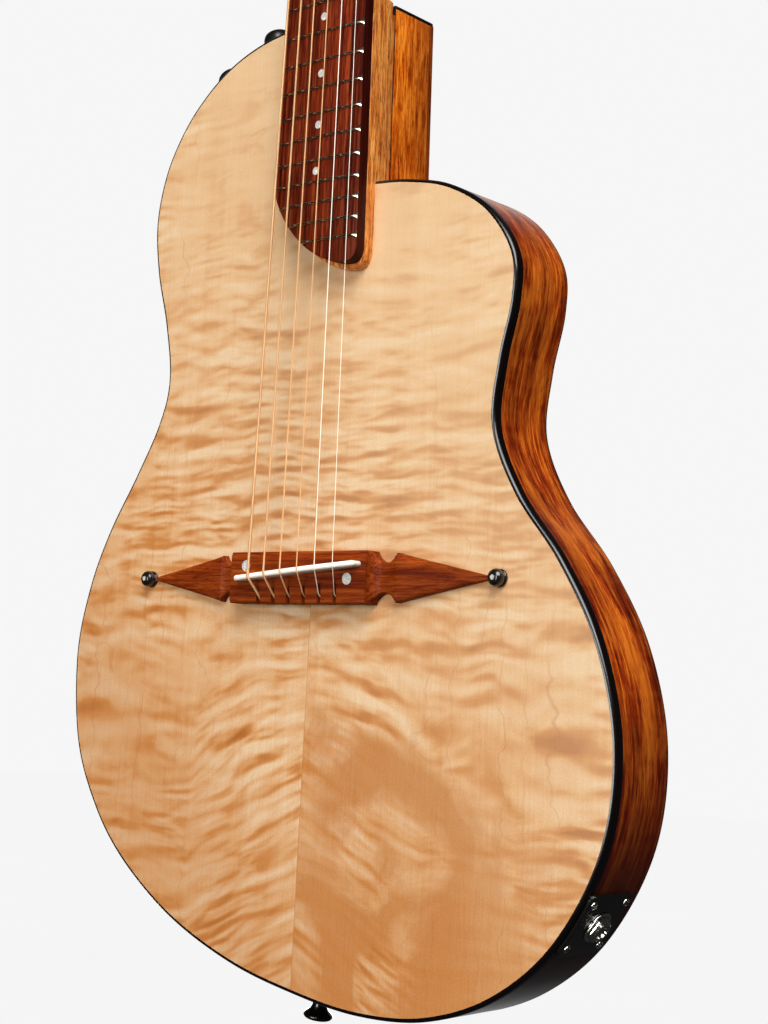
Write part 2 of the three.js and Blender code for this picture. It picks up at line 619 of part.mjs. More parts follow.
function makeTuners() {
  TUNERS.forEach((tuner) => {
    const { number, side, x, y } = tuner;
    const top = HEAD_BACK - GAP;
    const bottom = HEAD_BACK - 10.6;
    const toSide = (geometry) => geometry.rotateY((side * Math.PI) / 2);

    const casing = join(box(-10, 10, -8.5, 13, bottom, top), rod(SLEEVE_R, top - 1, -0.4, 10));
    const housing = cut(
      casing,
      rod(GEAR_R + GAP, bottom + 3.6, top - 1.2, 12),
      rod(POST_R + GAP, top - 2, 2, 10),
      toSide(rod(WORM_R + GAP, -8.5, 12, 8)).translate(0, WORM_Y, WORM_Z),
    );
    node(`tuner_housing_${number}`, "nickel", housing.translate(x, y, 0), headstock);

    const post = turned([[0, bottom + 3.9], [GEAR_R, bottom + 3.9], [GEAR_R, top - 1.5], [POST_R, top - 1.5],
      [POST_R, 13.2], [0, 14]], 10);
    node(`tuner_post_${number}`, "nickel", post.translate(x, y, 0), headstock);

    const worm = turned([[0, -8.2], [WORM_R, -8.2], [WORM_R, 6], [1.8, 6], [1.8, 16.5], [0, 16.5]], 8);
    const grip = new THREE.SphereGeometry(1, 12, 7).scale(9, 5, 8).translate(0, 0, 22.5);
    const button = toSide(join(worm, grip)).translate(x, y + WORM_Y, WORM_Z);
    node(`tuner_button_${number}`, "nickel", button, headstock);
  });
}

// ---------- electronics ----------
function makeElectronics() {
  const inside = SIDE_T + LINING_W + 2 * GAP;
  KNOBS.forEach(({ name, place }) => {
    const knob = turned([[0, -inside - 4], [SHAFT_R, -inside - 4], [SHAFT_R, 1], [KNOB_R, 1],
      [KNOB_R - 0.2, KNOB_END - 4], [KNOB_R - 1.3, KNOB_END - 1.4], [0, KNOB_END]], 20);
    node(`${name}_knob`, "black", outOfSide(knob, place, KNOB_Z));
    const can = rod(8.5, -inside - 12, -inside - 1, 16);
    const bushing = rod(BUSHING_R, -inside - 2, 0.6, 12);
    const pot = cut(join(can, bushing), rod(SHAFT_R + GAP, -inside - 5, 4, 12));
    node(`${name}_pot`, "steel", outOfSide(pot, place, KNOB_Z));
  });
  const shelf = -BODY_DEPTH + COVER_T + GAP;
  node("preamp_board", "circuit",
    box(COVER.x - 23, COVER.x + 23, COVER.y + 14, COVER.y + 38, shelf, shelf + 1.6));
  node("battery", "black",
    box(COVER.x - BATTERY.x / 2, COVER.x + BATTERY.x / 2, COVER.y - 37, COVER.y - 37 + BATTERY.y,
      shelf, shelf + BATTERY.z));
}

function makeJack() {
  const { place, z, barrelR, boreR } = JACK;
  const plate = finePath.slice(place.index - 4, place.index + 5);
  const strip = prism(band(plate, 1.6, GAP), z - 16.5, z + 16.5);
  node("jack_plate", "black", cut(strip, outOfSide(rod(barrelR + GAP, -8, 8, 16), place, z)));
  const barrel = turned([[0, -26], [barrelR, -26], [barrelR, 2], [7.4, 2], [7.4, 3.4], [6, 3.6], [6, 5.4],
    [0, 5.4]], 16);
  node("output_jack", "nickel", outOfSide(cut(barrel, rod(boreR, -22, 8, 16)), place, z));
  const button = turned([[0, -24], [STRAP.screwR, -24], [STRAP.screwR, GAP], [4.4, GAP], [3.4, 4.5], [4, 8.5],
    [7.2, 11.8], [7.2, 12.8], [6.2, 13.8], [0, 13.8]], 18);
  node("strap_button", "black", outOfSide(button, STRAP.place, STRAP.z));
}

// ---------- assembly ----------
makeShell();
makeBlocks();
makeBracing();
makeNeck();
makeFretboard();
makeHeadFace();
makeBridge();
makeStrings();
makeTuners();
makeElectronics();
makeJack();

headstock.rotation.x = (-HEAD_ANGLE * Math.PI) / 180;
headstock.position.set(0, HEAD_Y, BOARD_BOTTOM);
body.add(headstock);
body.rotation.x = Math.PI / 2;
body.position.z = -SCALE_LENGTH;

const guitar = new THREE.Group();
guitar.add(body);

export default guitar;
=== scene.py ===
from math import atan, atan2, copysign, cos, pi, radians, sin, sqrt

import bmesh
import bpy
import numpy as np
from mathutils import Matrix, Vector
from mathutils.geometry import tessellate_polygon


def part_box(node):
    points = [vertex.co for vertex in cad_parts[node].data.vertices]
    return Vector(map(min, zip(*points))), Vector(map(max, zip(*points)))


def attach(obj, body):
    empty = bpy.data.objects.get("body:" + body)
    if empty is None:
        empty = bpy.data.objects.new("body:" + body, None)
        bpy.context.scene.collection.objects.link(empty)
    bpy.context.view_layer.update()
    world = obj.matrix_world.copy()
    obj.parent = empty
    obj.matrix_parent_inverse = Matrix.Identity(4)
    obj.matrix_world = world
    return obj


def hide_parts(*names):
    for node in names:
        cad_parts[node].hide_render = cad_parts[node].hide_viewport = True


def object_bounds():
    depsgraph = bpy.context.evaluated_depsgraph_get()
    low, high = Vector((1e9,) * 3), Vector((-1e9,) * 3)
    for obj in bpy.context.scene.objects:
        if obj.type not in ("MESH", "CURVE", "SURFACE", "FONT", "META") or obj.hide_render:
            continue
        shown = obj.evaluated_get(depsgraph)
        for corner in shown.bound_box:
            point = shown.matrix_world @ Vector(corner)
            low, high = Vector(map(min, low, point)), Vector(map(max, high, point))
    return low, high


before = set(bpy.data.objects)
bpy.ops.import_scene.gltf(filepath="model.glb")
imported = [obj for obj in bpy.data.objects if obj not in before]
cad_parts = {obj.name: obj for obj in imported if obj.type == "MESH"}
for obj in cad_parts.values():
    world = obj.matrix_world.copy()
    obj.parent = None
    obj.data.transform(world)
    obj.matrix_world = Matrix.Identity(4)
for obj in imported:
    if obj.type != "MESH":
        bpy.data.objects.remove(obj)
CAD_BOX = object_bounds()

# Shapes are drawn in plan millimetres, as the CAD part is: x across the strings (treble side +),
# y along the neck from the saddle line, z out of the soundboard. PLAN_TO_ROW takes them to the
# frame that the part stands in, in metres.
MM = 0.001
SCALE_LENGTH = 650.0
PLAN_TO_ROW = Matrix(((MM, 0, 0, 0), (0, 0, -MM, 0), (0, MM, 0, -SCALE_LENGTH * MM), (0, 0, 0, 1)))

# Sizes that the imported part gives, in plan millimetres.
BODY_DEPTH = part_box("back_plate")[1].y / MM
BOARD_TOP = -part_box("fretboard")[0].y / MM
BOARD_BOTTOM = -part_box("fretboard")[1].y / MM
SADDLE_TOP = -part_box("saddle")[0].y / MM
NUT_TOP = -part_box("nut")[0].y / MM
BRIDGE_TOP = -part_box("bridge")[0].y / MM

# Driving dimensions of the neck, the body and the string run.
HEAD_ANGLE = radians(13)
HEAD_Y = SCALE_LENGTH + 5.5
NUT_HALF = 21.8
BOARD_TAPER = 0.01439
BOARD_RADIUS = 406.0
HEEL_BOTTOM = -11.3
BODY_END = 288.0
CUTAWAY_Y = 193.2
BINDING_W = 2.0
TOP_BINDING_H = 5.0
BACK_BINDING_H = 1.6
SADDLE_Y = -2.4
SADDLE_SLOPE = 0.09
BRIDGE_Y = -5.2
ANCHOR_X = -1.4
ANCHOR_SPREAD = 50.4
STRING_RADII = [0.15, 0.21, 0.31, 0.41, 0.53, 0.67]
NUT_SPREAD = 37.0
SADDLE_SPREAD = 55.0
COVER, COVER_HALF = (-62, 150), (30, 45)
KNOB_Z, JACK_Z, STRAP_Z = -17.5, -18.7, -22.5

# The rim, from the bass side of the neck round the tail to the cutaway.
OUTLINE = [
    (-29, 288), (-57.5, 282.9), (-81.1, 273.5), (-100, 259.6), (-115, 242.5), (-126.7, 219.7),
    (-131.6, 192.1), (-127.6, 163), (-118.6, 133.2), (-113.1, 102.9), (-118.3, 79.5), (-133.2, 51.9),
    (-152.1, 21.2), (-165.2, -9.5), (-171.9, -46), (-166, -91.4), (-148.1, -125.1), (-123.5, -150.8),
    (-86.1, -174.7), (-42.2, -191.3), (0, -199.9), (40, -204.1), (80, -200.8), (117.5, -186.6),
    (149.5, -160.1), (172.2, -120.1), (177.5, -76), (167.5, -33.1), (147, 3.1), (122.5, 33.7),
    (108.4, 64.5), (110.7, 95), (117, 123.6), (115.8, 146.7), (99.8, 169.8), (75.1, 184.8),
    (49.7, 191.1), (28.67, CUTAWAY_Y)]


# ---------- numbers and curves ----------
def half_board(y):
    return NUT_HALF + BOARD_TAPER * (SCALE_LENGTH - y)


def camber(x):
    return x * x / (2 * BOARD_RADIUS)


def spline(points, per):
    """A uniform Catmull-Rom curve through the points, with `per` steps between neighbours."""
    p = np.array(points, float)
    out = []
    for i in range(len(p) - 1):
        before, a, b, after = p[max(i - 1, 0)], p[i], p[i + 1], p[min(i + 2, len(p) - 1)]
        va, vb = (b - before) / 2, (after - a) / 2
        cubic, square = 2 * a - 2 * b + va + vb, -3 * a + 3 * b - 2 * va - vb
        for k in range(per):
            t = k / per
            out.append(cubic * t**3 + square * t * t + va * t + a)
    out.append(p[-1])
    return np.array(out)


def bezier(a, b, c, d, n):
    t = np.linspace(0, 1, n + 1)[:, None]
    a, b, c, d = (np.array(q, float) for q in (a, b, c, d))
    return (1 - t) ** 3 * a + 3 * (1 - t) ** 2 * t * b + 3 * (1 - t) * t * t * c + t**3 * d


def normals(path, closed=False):
    """The unit direction to the right of a plan path at each point: outward for the body's outline."""
    if closed:
        along = np.roll(path, -1, 0) - np.roll(path, 1, 0)
    else:
        along = np.gradient(path, axis=0)
    along /= np.linalg.norm(along, axis=1)[:, None]
    return np.stack([along[:, 1], -along[:, 0]], 1)


def shifted(path, distance, closed=False):
    return path + distance * normals(path, closed)


def rounded_rectangle(x, y, half_x, half_y, r, n=6):
    points = []
    for k, (sx, sy) in enumerate(((1, -1), (1, 1), (-1, 1), (-1, -1))):
        for i in range(n + 1):
            a = radians(-90 + 90 * k + 90 * i / n)
            points.append((x + sx * (half_x - r) + r * cos(a), y + sy * (half_y - r) + r * sin(a)))
    return np.array(points)


def polygon(r, sides, start=0.0, turn=1):
    """The corners of a regular polygon; turn is -1 for a hole, which runs the other way."""
    angles = [start + turn * 2 * pi * k / sides for k in range(sides)]
    return [(r * cos(a), r * sin(a)) for a in angles]


def moved(x, y, z):
    return Matrix.Translation((x, y, z))


def turned(angle, axis):
    return Matrix.Rotation(angle, 4, axis)


RIM = spline(OUTLINE, 12)
RIM_OUT = normals(RIM)
RIM_LENGTH = np.concatenate([[0], np.cumsum(np.linalg.norm(np.diff(RIM, axis=0), axis=1))])
TAIL = int(np.argmax((RIM[:, 1] < -190) & (RIM[:, 0] >= 20)))


def rim_place(x, y):
    """The place on the rim nearest a point: its position, its outward direction and its length along."""
    i = int(np.argmin(np.linalg.norm(RIM - np.array((x, y)), axis=1)))
    return RIM[i], RIM_OUT[i], RIM_LENGTH[i]


def outward(place, z):
    """A matrix that puts a piece made about +z so that it points out of the rim."""
    point, out, _ = place
    return moved(*point, z) @ turned(atan2(out[1], out[0]), "Z") @ turned(pi / 2, "Y")


# ---------- meshes ----------
def shaded(mesh, angle=38):
    """Smooth faces, with sharp edges kept where they turn by more than the angle."""
    bm = bmesh.new()
    bm.from_mesh(mesh)
    bmesh.ops.recalc_face_normals(bm, faces=bm.faces)
    for f in bm.faces:
        f.smooth = True
    for e in bm.edges:
        e.smooth = e.calc_face_angle(0) < radians(angle)
    bm.to_mesh(mesh)
    bm.free()


def make_mesh(name, verts, faces):
    mesh = bpy.data.meshes.new(name)
    mesh.from_pydata([tuple(map(float, v)) for v in verts], [], [tuple(f) for f in faces])
    mesh.validate()
    return mesh


def add(name, mesh, material, body="guitar", replaces=(), place=None, angle=38):
    """Puts a mesh made in plan millimetres into the scene as a piece that rides on a body."""
    if place is not None:
        mesh.transform(place)
    mesh.transform(PLAN_TO_ROW)
    shaded(mesh, angle)
    mesh.materials.clear()
    mesh.materials.append(material)
    piece = bpy.data.objects.new(name, mesh)
    bpy.context.scene.collection.objects.link(piece)
    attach(piece, body)
    if replaces:
        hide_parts(*replaces)


def skin(base, rows, n):
    """The faces between rows of n points each, where the first row starts at the index base."""
    faces = []
    for low in range(base, base + (rows - 1) * n, n):
        faces += [(low + j, low + (j + 1) % n, low + n + (j + 1) % n, low + n + j) for j in range(n)]
    return faces


def loft(name, rings):
    """A closed skin over rings with equal numbers of points."""
    n = len(rings[0])
    verts = [p for ring in rings for p in ring]
    faces = skin(0, len(rings), n)
    faces.append(tuple(range(n - 1, -1, -1)))
    faces.append(tuple(range((len(rings) - 1) * n, len(rings) * n)))
    return make_mesh(name, verts, faces)


def sweep(name, path, profile, out=None):
    """A profile of (offset, z) carried along a plan path; negative offsets lie inside the body."""
    out = normals(path) if out is None else out
    return loft(name, [[(*(p + d * n), z) for d, z in profile] for p, n in zip(path, out)])


def slab(name, outer, z0, z1, soft=0.0, holes=(), steps=3):
    """A plate with a plan outline and holes; its outer edges are rounded by `soft`."""
    levels = [(0.0, z0), (0.0, z1)]
    if soft:
        arc = [pi / 2 * k / steps for k in range(steps + 1)]
        levels = [(-soft * (1 - sin(a)), z0 + soft * (1 - cos(a))) for a in arc]
        levels += [(-soft * (1 - cos(a)), z1 - soft * (1 - sin(a))) for a in arc]
    outer = np.array(outer, float)
    area = np.sum(outer[:, 0] * np.roll(outer[:, 1], -1) - np.roll(outer[:, 0], -1) * outer[:, 1])
    if area < 0:
        outer = outer[::-1]
    verts, faces, caps = [], [], {0: [], len(levels) - 1: []}
    for loop in [outer, *[np.array(h, float) for h in holes]]:
        is_outer = loop is outer
        n = len(loop)
        base = len(verts)
        used = levels if is_outer else [levels[0], levels[-1]]
        for d, z in used:
            ring = shifted(loop, d, True) if is_outer and d else loop
            verts += [(x, y, z) for x, y in ring]
        faces += skin(base, len(used), n)
        caps[0].append(list(range(base, base + n)))
        caps[len(levels) - 1].append(list(range(base + (len(used) - 1) * n, base + len(used) * n)))
    for loops in caps.values():
        flat = [i for loop in loops for i in loop]
        triangles = tessellate_polygon([[Vector(verts[i]) for i in loop] for loop in loops])
        faces += [tuple(flat[k] for k in t) for t in triangles]
    return make_mesh(name, verts, faces)


def lathe(name, profile, segments):
    """A solid turned about +z from (radius, z) points, which start and end on the axis or close."""
    verts, rows, faces = [], [], []
    for r, z in profile:
        if r == 0:
            rows.append([len(verts)] * segments)
            verts.append((0, 0, z))
        else:
            rows.append(list(range(len(verts), len(verts) + segments)))
            verts += [(x, y, z) for x, y in polygon(r, segments)]
    if profile[0][0] != 0:
        rows.append(rows[0])
    for lower, upper in zip(rows, rows[1:]):
        for j in range(segments):
            k = (j + 1) % segments
            face = list(dict.fromkeys((lower[j], lower[k], upper[k], upper[j])))
            if len(face) > 2:
                faces.append(face)
    return make_mesh(name, verts, faces)


def rod(name, r, z0, z1, segments, crown=0.0):
    """A cylinder about +z, whose top rises by the crown at its middle."""
    return lathe(name, [(0, z0), (r, z0), (r, z1), (0, z1 + crown)], segments)


def arc_profile(points, r, steps=4):
    """Rounds the corners of a (radius, z) profile by r, apart from its first and last points."""
    out = [points[0]]
    for before, here, after in zip(points, points[1:], points[2:]):
        h = np.array(here, float)
        a, b = np.array(before, float) - h, np.array(after, float) - h
        la, lb = np.linalg.norm(a), np.linalg.norm(b)
        d = min(r, la * 0.45, lb * 0.45)
        p, q = h + a / la * d, h + b / lb * d
        for k in range(steps + 1):
            t = k / steps
            out.append(tuple((1 - t) ** 2 * p + 2 * (1 - t) * t * h + t * t * q))
    out.append(points[-1])
    return out


def tube(name, points, radius, sides):
    """A round rod along 3-D points, with its length kept as the attribute "grain"."""
    p = np.array(points, float)
    along = np.gradient(p, axis=0)
    along /= np.linalg.norm(along, axis=1)[:, None]
    rings = []
    across = np.cross((0, 0, 1), along[0])
    for q, d in zip(p, along):
        across = across - d * np.dot(across, d)
        across /= np.linalg.norm(across)
        up = np.cross(d, across)
        rings.append([q + radius * (cos(a) * across + sin(a) * up)
                      for a in (2 * pi * (k + 0.5) / sides for k in range(sides))])
    mesh = loft(name, rings)
    length = np.concatenate([[0], np.cumsum(np.linalg.norm(np.diff(p, axis=0), axis=1))])
    keep_grain(mesh, [(length[i], 0, 0) for i in range(len(p)) for _ in range(sides)])
    return mesh


def keep_grain(mesh, values):
    """Stores a position along the grain, in metres, on each point for the material to read."""
    layer = mesh.attributes.new("grain", "FLOAT_VECTOR", "POINT")
    layer.data.foreach_set("vector", (np.array(values, float) * MM).ravel().astype(np.float32))


def combined(name, operation, mesh, *others):
    """The boolean of a mesh with others, all closed and in the same units."""
    scene = bpy.context.scene
    base = bpy.data.objects.new(name, mesh)
    scene.collection.objects.link(base)
    tools = []
    for other in others:
        tool = bpy.data.objects.new(name + "_tool", other)
        scene.collection.objects.link(tool)
        modifier = base.modifiers.new("boolean", "BOOLEAN")
        modifier.operation = operation
        modifier.solver = "EXACT"
        modifier.object = tool
        tools.append(tool)
    bpy.context.view_layer.update()
    result = bpy.data.meshes.new_from_object(base.evaluated_get(bpy.context.evaluated_depsgraph_get()))
    for o in (base, *tools):
        bpy.data.objects.remove(o)
    return result


def joined(name, *meshes):
    bm = bmesh.new()
    for m in meshes:
        bm.from_mesh(m)
    mesh = bpy.data.meshes.new(name)
    bm.to_mesh(mesh)
    bm.free()
    return mesh


def softened(mesh, width, segments=2, angle=35):
    """Bevels the edges that turn by more than the angle."""
    bm = bmesh.new()
    bm.from_mesh(mesh)
    bmesh.ops.recalc_face_normals(bm, faces=bm.faces)
    edges = [e for e in bm.edges if e.calc_face_angle(0) > radians(angle)]
    bmesh.ops.bevel(bm, geom=edges, offset=width, segments=segments, profile=0.5, affect="EDGES")
    bm.to_mesh(mesh)
    bm.free()
    return mesh


# ---------- materials ----------
def rgb(r, g, b):
    """An sRGB colour out of 255 as linear values."""
    return tuple((c / 255 / 12.92 if c / 255 <= 0.04045 else ((c / 255 + 0.055) / 1.055) ** 2.4)
                 for c in (r, g, b)) + (1.0,)


def dimmed(color, share):
    return tuple(c * share for c in color[:3]) + (1.0,)


class Shade:
    """A node material under construction."""

    def __init__(self, name, **base):
        self.material = bpy.data.materials.new(name)
        self.material.use_nodes = True
        self.nodes = self.material.node_tree.nodes
        self.links = self.material.node_tree.links
        self.base = self.nodes["Principled BSDF"]
        for key, value in base.items():
            self.set(self.base.inputs[key.replace("_", " ")], value)

    def set(self, socket, value):
        if isinstance(value, bpy.types.NodeSocket):
            self.links.new(value, socket)
        else:
            socket.default_value = value

    def node(self, kind, inputs, output=0, **settings):
        n = self.nodes.new("ShaderNode" + kind)
        for key, value in settings.items():
            setattr(n, key, value)
        for key, value in inputs.items():
            self.set(n.inputs[key], value)
        return n.outputs[output]

    def place(self, scale=(1, 1, 1), offset=(0, 0, 0), grain=False):
        """Row-frame metres, or the stored grain position, scaled."""
        source = (self.node("Attribute", {}, "Vector", attribute_name="grain") if grain
                  else self.node("TexCoord", {}, "Object"))
        return self.node("Mapping", {"Vector": source, "Scale": scale, "Location": offset})

    def axis(self, vector, index):
        return self.node("SeparateXYZ", {0: vector}, index)

    def noise(self, vector, detail=4.0, roughness=0.5, distortion=0.0, output="Fac"):
        return self.node("TexNoise", {"Vector": vector, "Scale": 1.0, "Detail": detail,
                                      "Roughness": roughness, "Distortion": distortion}, output)

    def math(self, operation, a, b=0.0):
        return self.node("Math", {0: a, 1: b}, operation=operation)

    def times(self, a, b):
        return self.math("MULTIPLY", a, b)

    def plus(self, a, b):
        return self.math("ADD", a, b)

    def remap(self, value, low, high, to_low=0.0, to_high=1.0):
        return self.node("MapRange", {"Value": value, "From Min": low, "From Max": high,
                                      "To Min": to_low, "To Max": to_high}, clamp=True)

    def ramp(self, value, stops):
        n = self.nodes.new("ShaderNodeValToRGB")
        self.set(n.inputs[0], value)
        elements = n.color_ramp.elements
        while len(elements) < len(stops):
            elements.new(0.5)
        for e, (position, color) in zip(elements, stops):
            e.position = position
            e.color = color
        return n.outputs["Color"]

    def mix(self, factor, a, b, blend="MIX"):
        return self.node("Mix", {0: factor, 6: a, 7: b}, 2, data_type="RGBA", blend_type=blend)

    def color(self, value):
        self.set(self.base.inputs["Base Color"], value)

    def bump(self, height, distance, strength=1.0):
        self.set(self.base.inputs["Normal"],
                 self.node("Bump", {"Height": height, "Distance": distance, "Strength": strength}))


def maple():
    """A bookmatched pair of curly maple halves about the seam at x = 0."""
    book_shift, seam_width = 0.02, 0.0004
    ring_gap, ring_width = 0.0085, 0.0006
    s = Shade("curly_maple", Roughness=0.42, Coat_Weight=0.12, Coat_Roughness=0.1, Specular_IOR_Level=0.3)
    position = s.node("TexCoord", {}, "Object")
    x, z = s.axis(position, 0), s.axis(position, 2)
    folded = s.math("ABSOLUTE", x)
    # Each half is read in its own slightly shifted place, so that they match without being copies.
    page = s.times(s.math("GREATER_THAN", x, 0.0), book_shift)
    book = s.node("CombineXYZ", {0: folded, 1: page, 2: z})

    # Below the bridge the figure falls away from the seam on both sides.
    lean = s.times(s.math("MINIMUM", folded, 0.075), s.remap(z, -0.76, -0.67, 0.45, 0.0))
    leaning = s.node("CombineXYZ", {0: folded, 1: page, 2: s.plus(z, lean)})

    def read(scale, offset, *look, source=book):
        """A noise read at the scaled and shifted place; look is its detail, roughness and distortion."""
        return s.noise(s.node("Mapping", {"Vector": source, "Scale": scale, "Location": offset}), *look)

    warp = read((16, 30, 14), (0, 0, 0), 2.0, 0.5, 0.0, "Color")
    drift = s.node("VectorMath", {0: warp, 3: 0.014}, operation="SCALE")
    bent = s.node("VectorMath", {0: leaning, 1: drift}, operation="ADD")

    # The curl figure's waves in the grain, with their light and dark flanks painted as the sheen that light
    # draws from the curled fibres: the difference of a noise read twice.
    def sheen_flank(scale, step, gain, offset, detail):
        further = (offset[0], offset[1], offset[2] + step)
        a, b = (read(scale, place, detail, 0.5, 0.2, source=bent) for place in (offset, further))
        return s.times(s.math("SUBTRACT", a, b), gain)

    fine = sheen_flank((34, 20, 175), 0.35, 1.9, (2, 5, 1), 1.6)
    medium = sheen_flank((22, 20, 84), 0.3, 1.7, (7, 1, 4), 2.0)
    where = s.remap(read((15, 9, 9), (6, 2, 3), 3.0), 0.42, 0.58)
    patch = s.remap(read((12, 9, 8), (1, 4, 2), 3.0, 0.5, 0.5), 0.38, 0.6, 0.2, 1.2)
    curl = s.times(s.plus(s.times(fine, where), medium), patch)
    # Amber pools gather in bands that follow the figure, in some upright stripes more than others.
    pool = s.remap(read((20, 20, 72), (3, 8, 9), 4.0, 0.6, 0.3, source=bent), 0.5, 0.66)
    stripe = read((26, 9, 2.5), (9, 1, 1), 3.0, 0.6)
    pool = s.times(pool, s.remap(stripe, 0.42, 0.6, 0.06, 0.28))
    upright = s.times(s.math("SUBTRACT", read((75, 20, 3.5), (2, 2, 6), 4.0, 0.6), 0.5), 0.42)
    curl = s.plus(s.plus(curl, pool), upright)
    # Below the bridge the right half turns smooth and amber under a line that falls outward.
    fall = s.plus(z, s.times(x, 0.42))
    wander = s.times(read((14, 9, 20), (4, 4, 4), 3.0, 0.55, 0.6), 0.03)
    under = s.remap(s.plus(fall, wander), -0.701, -0.689, 1.0, 0.0)
    under = s.times(under, s.remap(x, -seam_width, seam_width))
    under = s.times(under, s.remap(x, 0.09, 0.15, 1.0, 0.25))
    streaked = read((14, 9, 16), (8, 3, 5), 4.0, 0.55, 1.2, source=bent)
    under = s.times(under, s.remap(streaked, 0.4, 0.56, 0.3, 1.0))
    tone = read((6, 7, 9), (3, 7, 6), 3.0, 0.5, 0.6)
    curl = s.times(curl, s.remap(under, 0.0, 1.0, 1.0, 0.45))
    level = s.math("SUBTRACT", s.remap(tone, 0.3, 0.7, 0.72, 0.52), curl)
    wood = s.ramp(level, [(0.04, rgb(164, 98, 42)), (0.36, rgb(192, 131, 72)), (0.56, rgb(208, 163, 114)),
                          (0.9, rgb(217, 189, 152))])
    wood = s.mix(s.times(under, 0.85), wood, rgb(180, 117, 57))
    # Growth rings show as a few thin wandering lines, mostly toward the edges.
    ring_place = s.plus(folded, s.times(read((30, 9, 50), (5, 5, 2), 2.0, 0.6), 0.02))
    ring_place = s.plus(ring_place, s.times(read((26, 9, 4), (0, 0, 0), 1.0), 0.05))
    line = s.remap(s.math("PINGPONG", ring_place, ring_gap), 0.0, ring_width, 1.0, 0.0)
    line = s.times(line, s.remap(read((20, 5, 16), (1, 9, 3), 2.0), 0.4, 0.58, 0.0, 0.7))
    line = s.times(line, s.remap(folded, 0.05, 0.12, 0.35, 1.0))
    wood = s.mix(s.times(line, 0.7), wood, rgb(168, 104, 56))
    fibre = read((700, 40, 40), (0, 0, 0), 4.0, 0.65)
    wood = s.mix(s.remap(fibre, 0.3, 0.7, 0.0, 0.18), wood, rgb(196, 138, 86), "MULTIPLY")
    speckle = read((1100, 1100, 1100), (0, 0, 0), 2.0, 0.6)
    wood = s.mix(s.remap(speckle, 0.35, 0.65, 0.0, 0.2), wood, rgb(196, 138, 86), "MULTIPLY")
    # Painted light: the upper right is a little paler than the lower left, where the lamp above right falls
    # more strongly; the foot of the lower left is ambered.
    wood = s.mix(s.remap(s.plus(s.times(x, 0.9), z), -0.72, -0.44, 0.0, 0.5), wood, rgb(210, 183, 144))
    wood = s.mix(s.remap(s.plus(x, z), -0.86, -0.76, 0.35, 0.0), wood, rgb(168, 106, 52))
    wood = s.mix(s.remap(folded, 0.0, seam_width, 0.55, 0.0), wood, rgb(154, 98, 52))
    s.color(wood)
    s.bump(fibre, 0.00002, 0.3)
    return s.material


def cabinet_wood(name, light, middle, dark, grain=False, along=(520, 520, 20), pores=(1900, 1900, 90),
                 gloss=0.3, coat=0.6, figure=0.5, flash=0.15, bands=0.0, foot=None, shine=0.2,
                 painted_side_shade=False):
    """An open-grained hardwood; along and pores are lowest on the axis that the grain follows."""
    s = Shade(name, Roughness=gloss, Coat_Weight=coat, Coat_Roughness=0.06, Specular_IOR_Level=shine)

    def read(scale, offset, *look):
        return s.noise(s.place(scale, offset, grain), *look)

    # The tone wanders over patches that are much wider than the streaks, and the ribbon crosses the grain.
    patch, ribbon_patch = 0.12, 0.3
    streak = read(along, (0, 0, 0), 5.0, 0.7, 0.3)
    tone = read(tuple(k * patch for k in along), (2, 5, 1), 3.0, 0.55, 0.6)
    ribbon = read(tuple(k * ribbon_patch for k in along[::-1]), (7, 3, 1), 2.0, 0.5)
    pore = read(pores, (4, 2, 8), 2.0, 0.6)
    wood = s.ramp(streak, [(0.38, dark), (0.5, middle), (0.62, light)])
    wood = s.mix(s.remap(tone, 0.4, 0.62, 0.0, figure), wood, dark, "MULTIPLY")
    wood = s.mix(s.remap(ribbon, 0.45, 0.65, 0.0, flash), wood, light)
    if bands:
        # The grain dips in and out along the board, which leaves gold and red stretches.
        dip = read((16, 60, 60), (1, 6, 2), 3.0, 0.6, 0.8)
        wood = s.mix(s.remap(dip, 0.5, 0.64, 0.0, bands), wood, light)
        wood = s.mix(s.remap(dip, 0.36, 0.47, bands, 0.0), wood, dark, "MULTIPLY")
    wood = s.mix(s.remap(pore, 0.56, 0.66, 0.0, 0.7), wood, dimmed(dark, 0.4))
    if foot:
        # Painted shade: the wood darkens to red from one height down to another, as shade gathers where the
        # side turns away from the lamps toward the tail.
        wood = s.mix(s.remap(s.axis(s.place(), 2), *foot, 0.9, 0.0), wood, rgb(62, 4, 2))
    if painted_side_shade:
        # Painted shade: every face that doesn't look forward is darkened, as the board's sides lie in
        # shade.
        facing = s.axis(s.node("NewGeometry", {}, "Normal"), 1)
        wood = s.mix(s.remap(facing, -0.9, -0.6, 0.0, 0.85), wood, rgb(40, 4, 1))
    s.color(wood)
    s.bump(pore, 0.00003, 0.25)
    return s.material


def polish(name, color, roughness=0.12, coat=0.0, haze=0.08, metal=0.0, speck=900.0, grain_bump=0.00001):
    """A smooth part whose gloss and tone wander a little, as handling leaves them."""
    s = Shade(name, Metallic=metal, Coat_Weight=coat, Coat_Roughness=0.05)
    cloud = s.noise(s.place((60, 60, 60)), 4.0, 0.6)
    fine = s.noise(s.place((speck, speck, speck)), 2.0, 0.5)
    s.color(s.mix(s.remap(cloud, 0.3, 0.7, 0.0, 0.25), color, dimmed(color, 0.72)))
    s.set(s.base.inputs["Roughness"], s.remap(cloud, 0.3, 0.7, roughness, roughness + haze))
    s.bump(fine, grain_bump, 0.2)
    return s.material


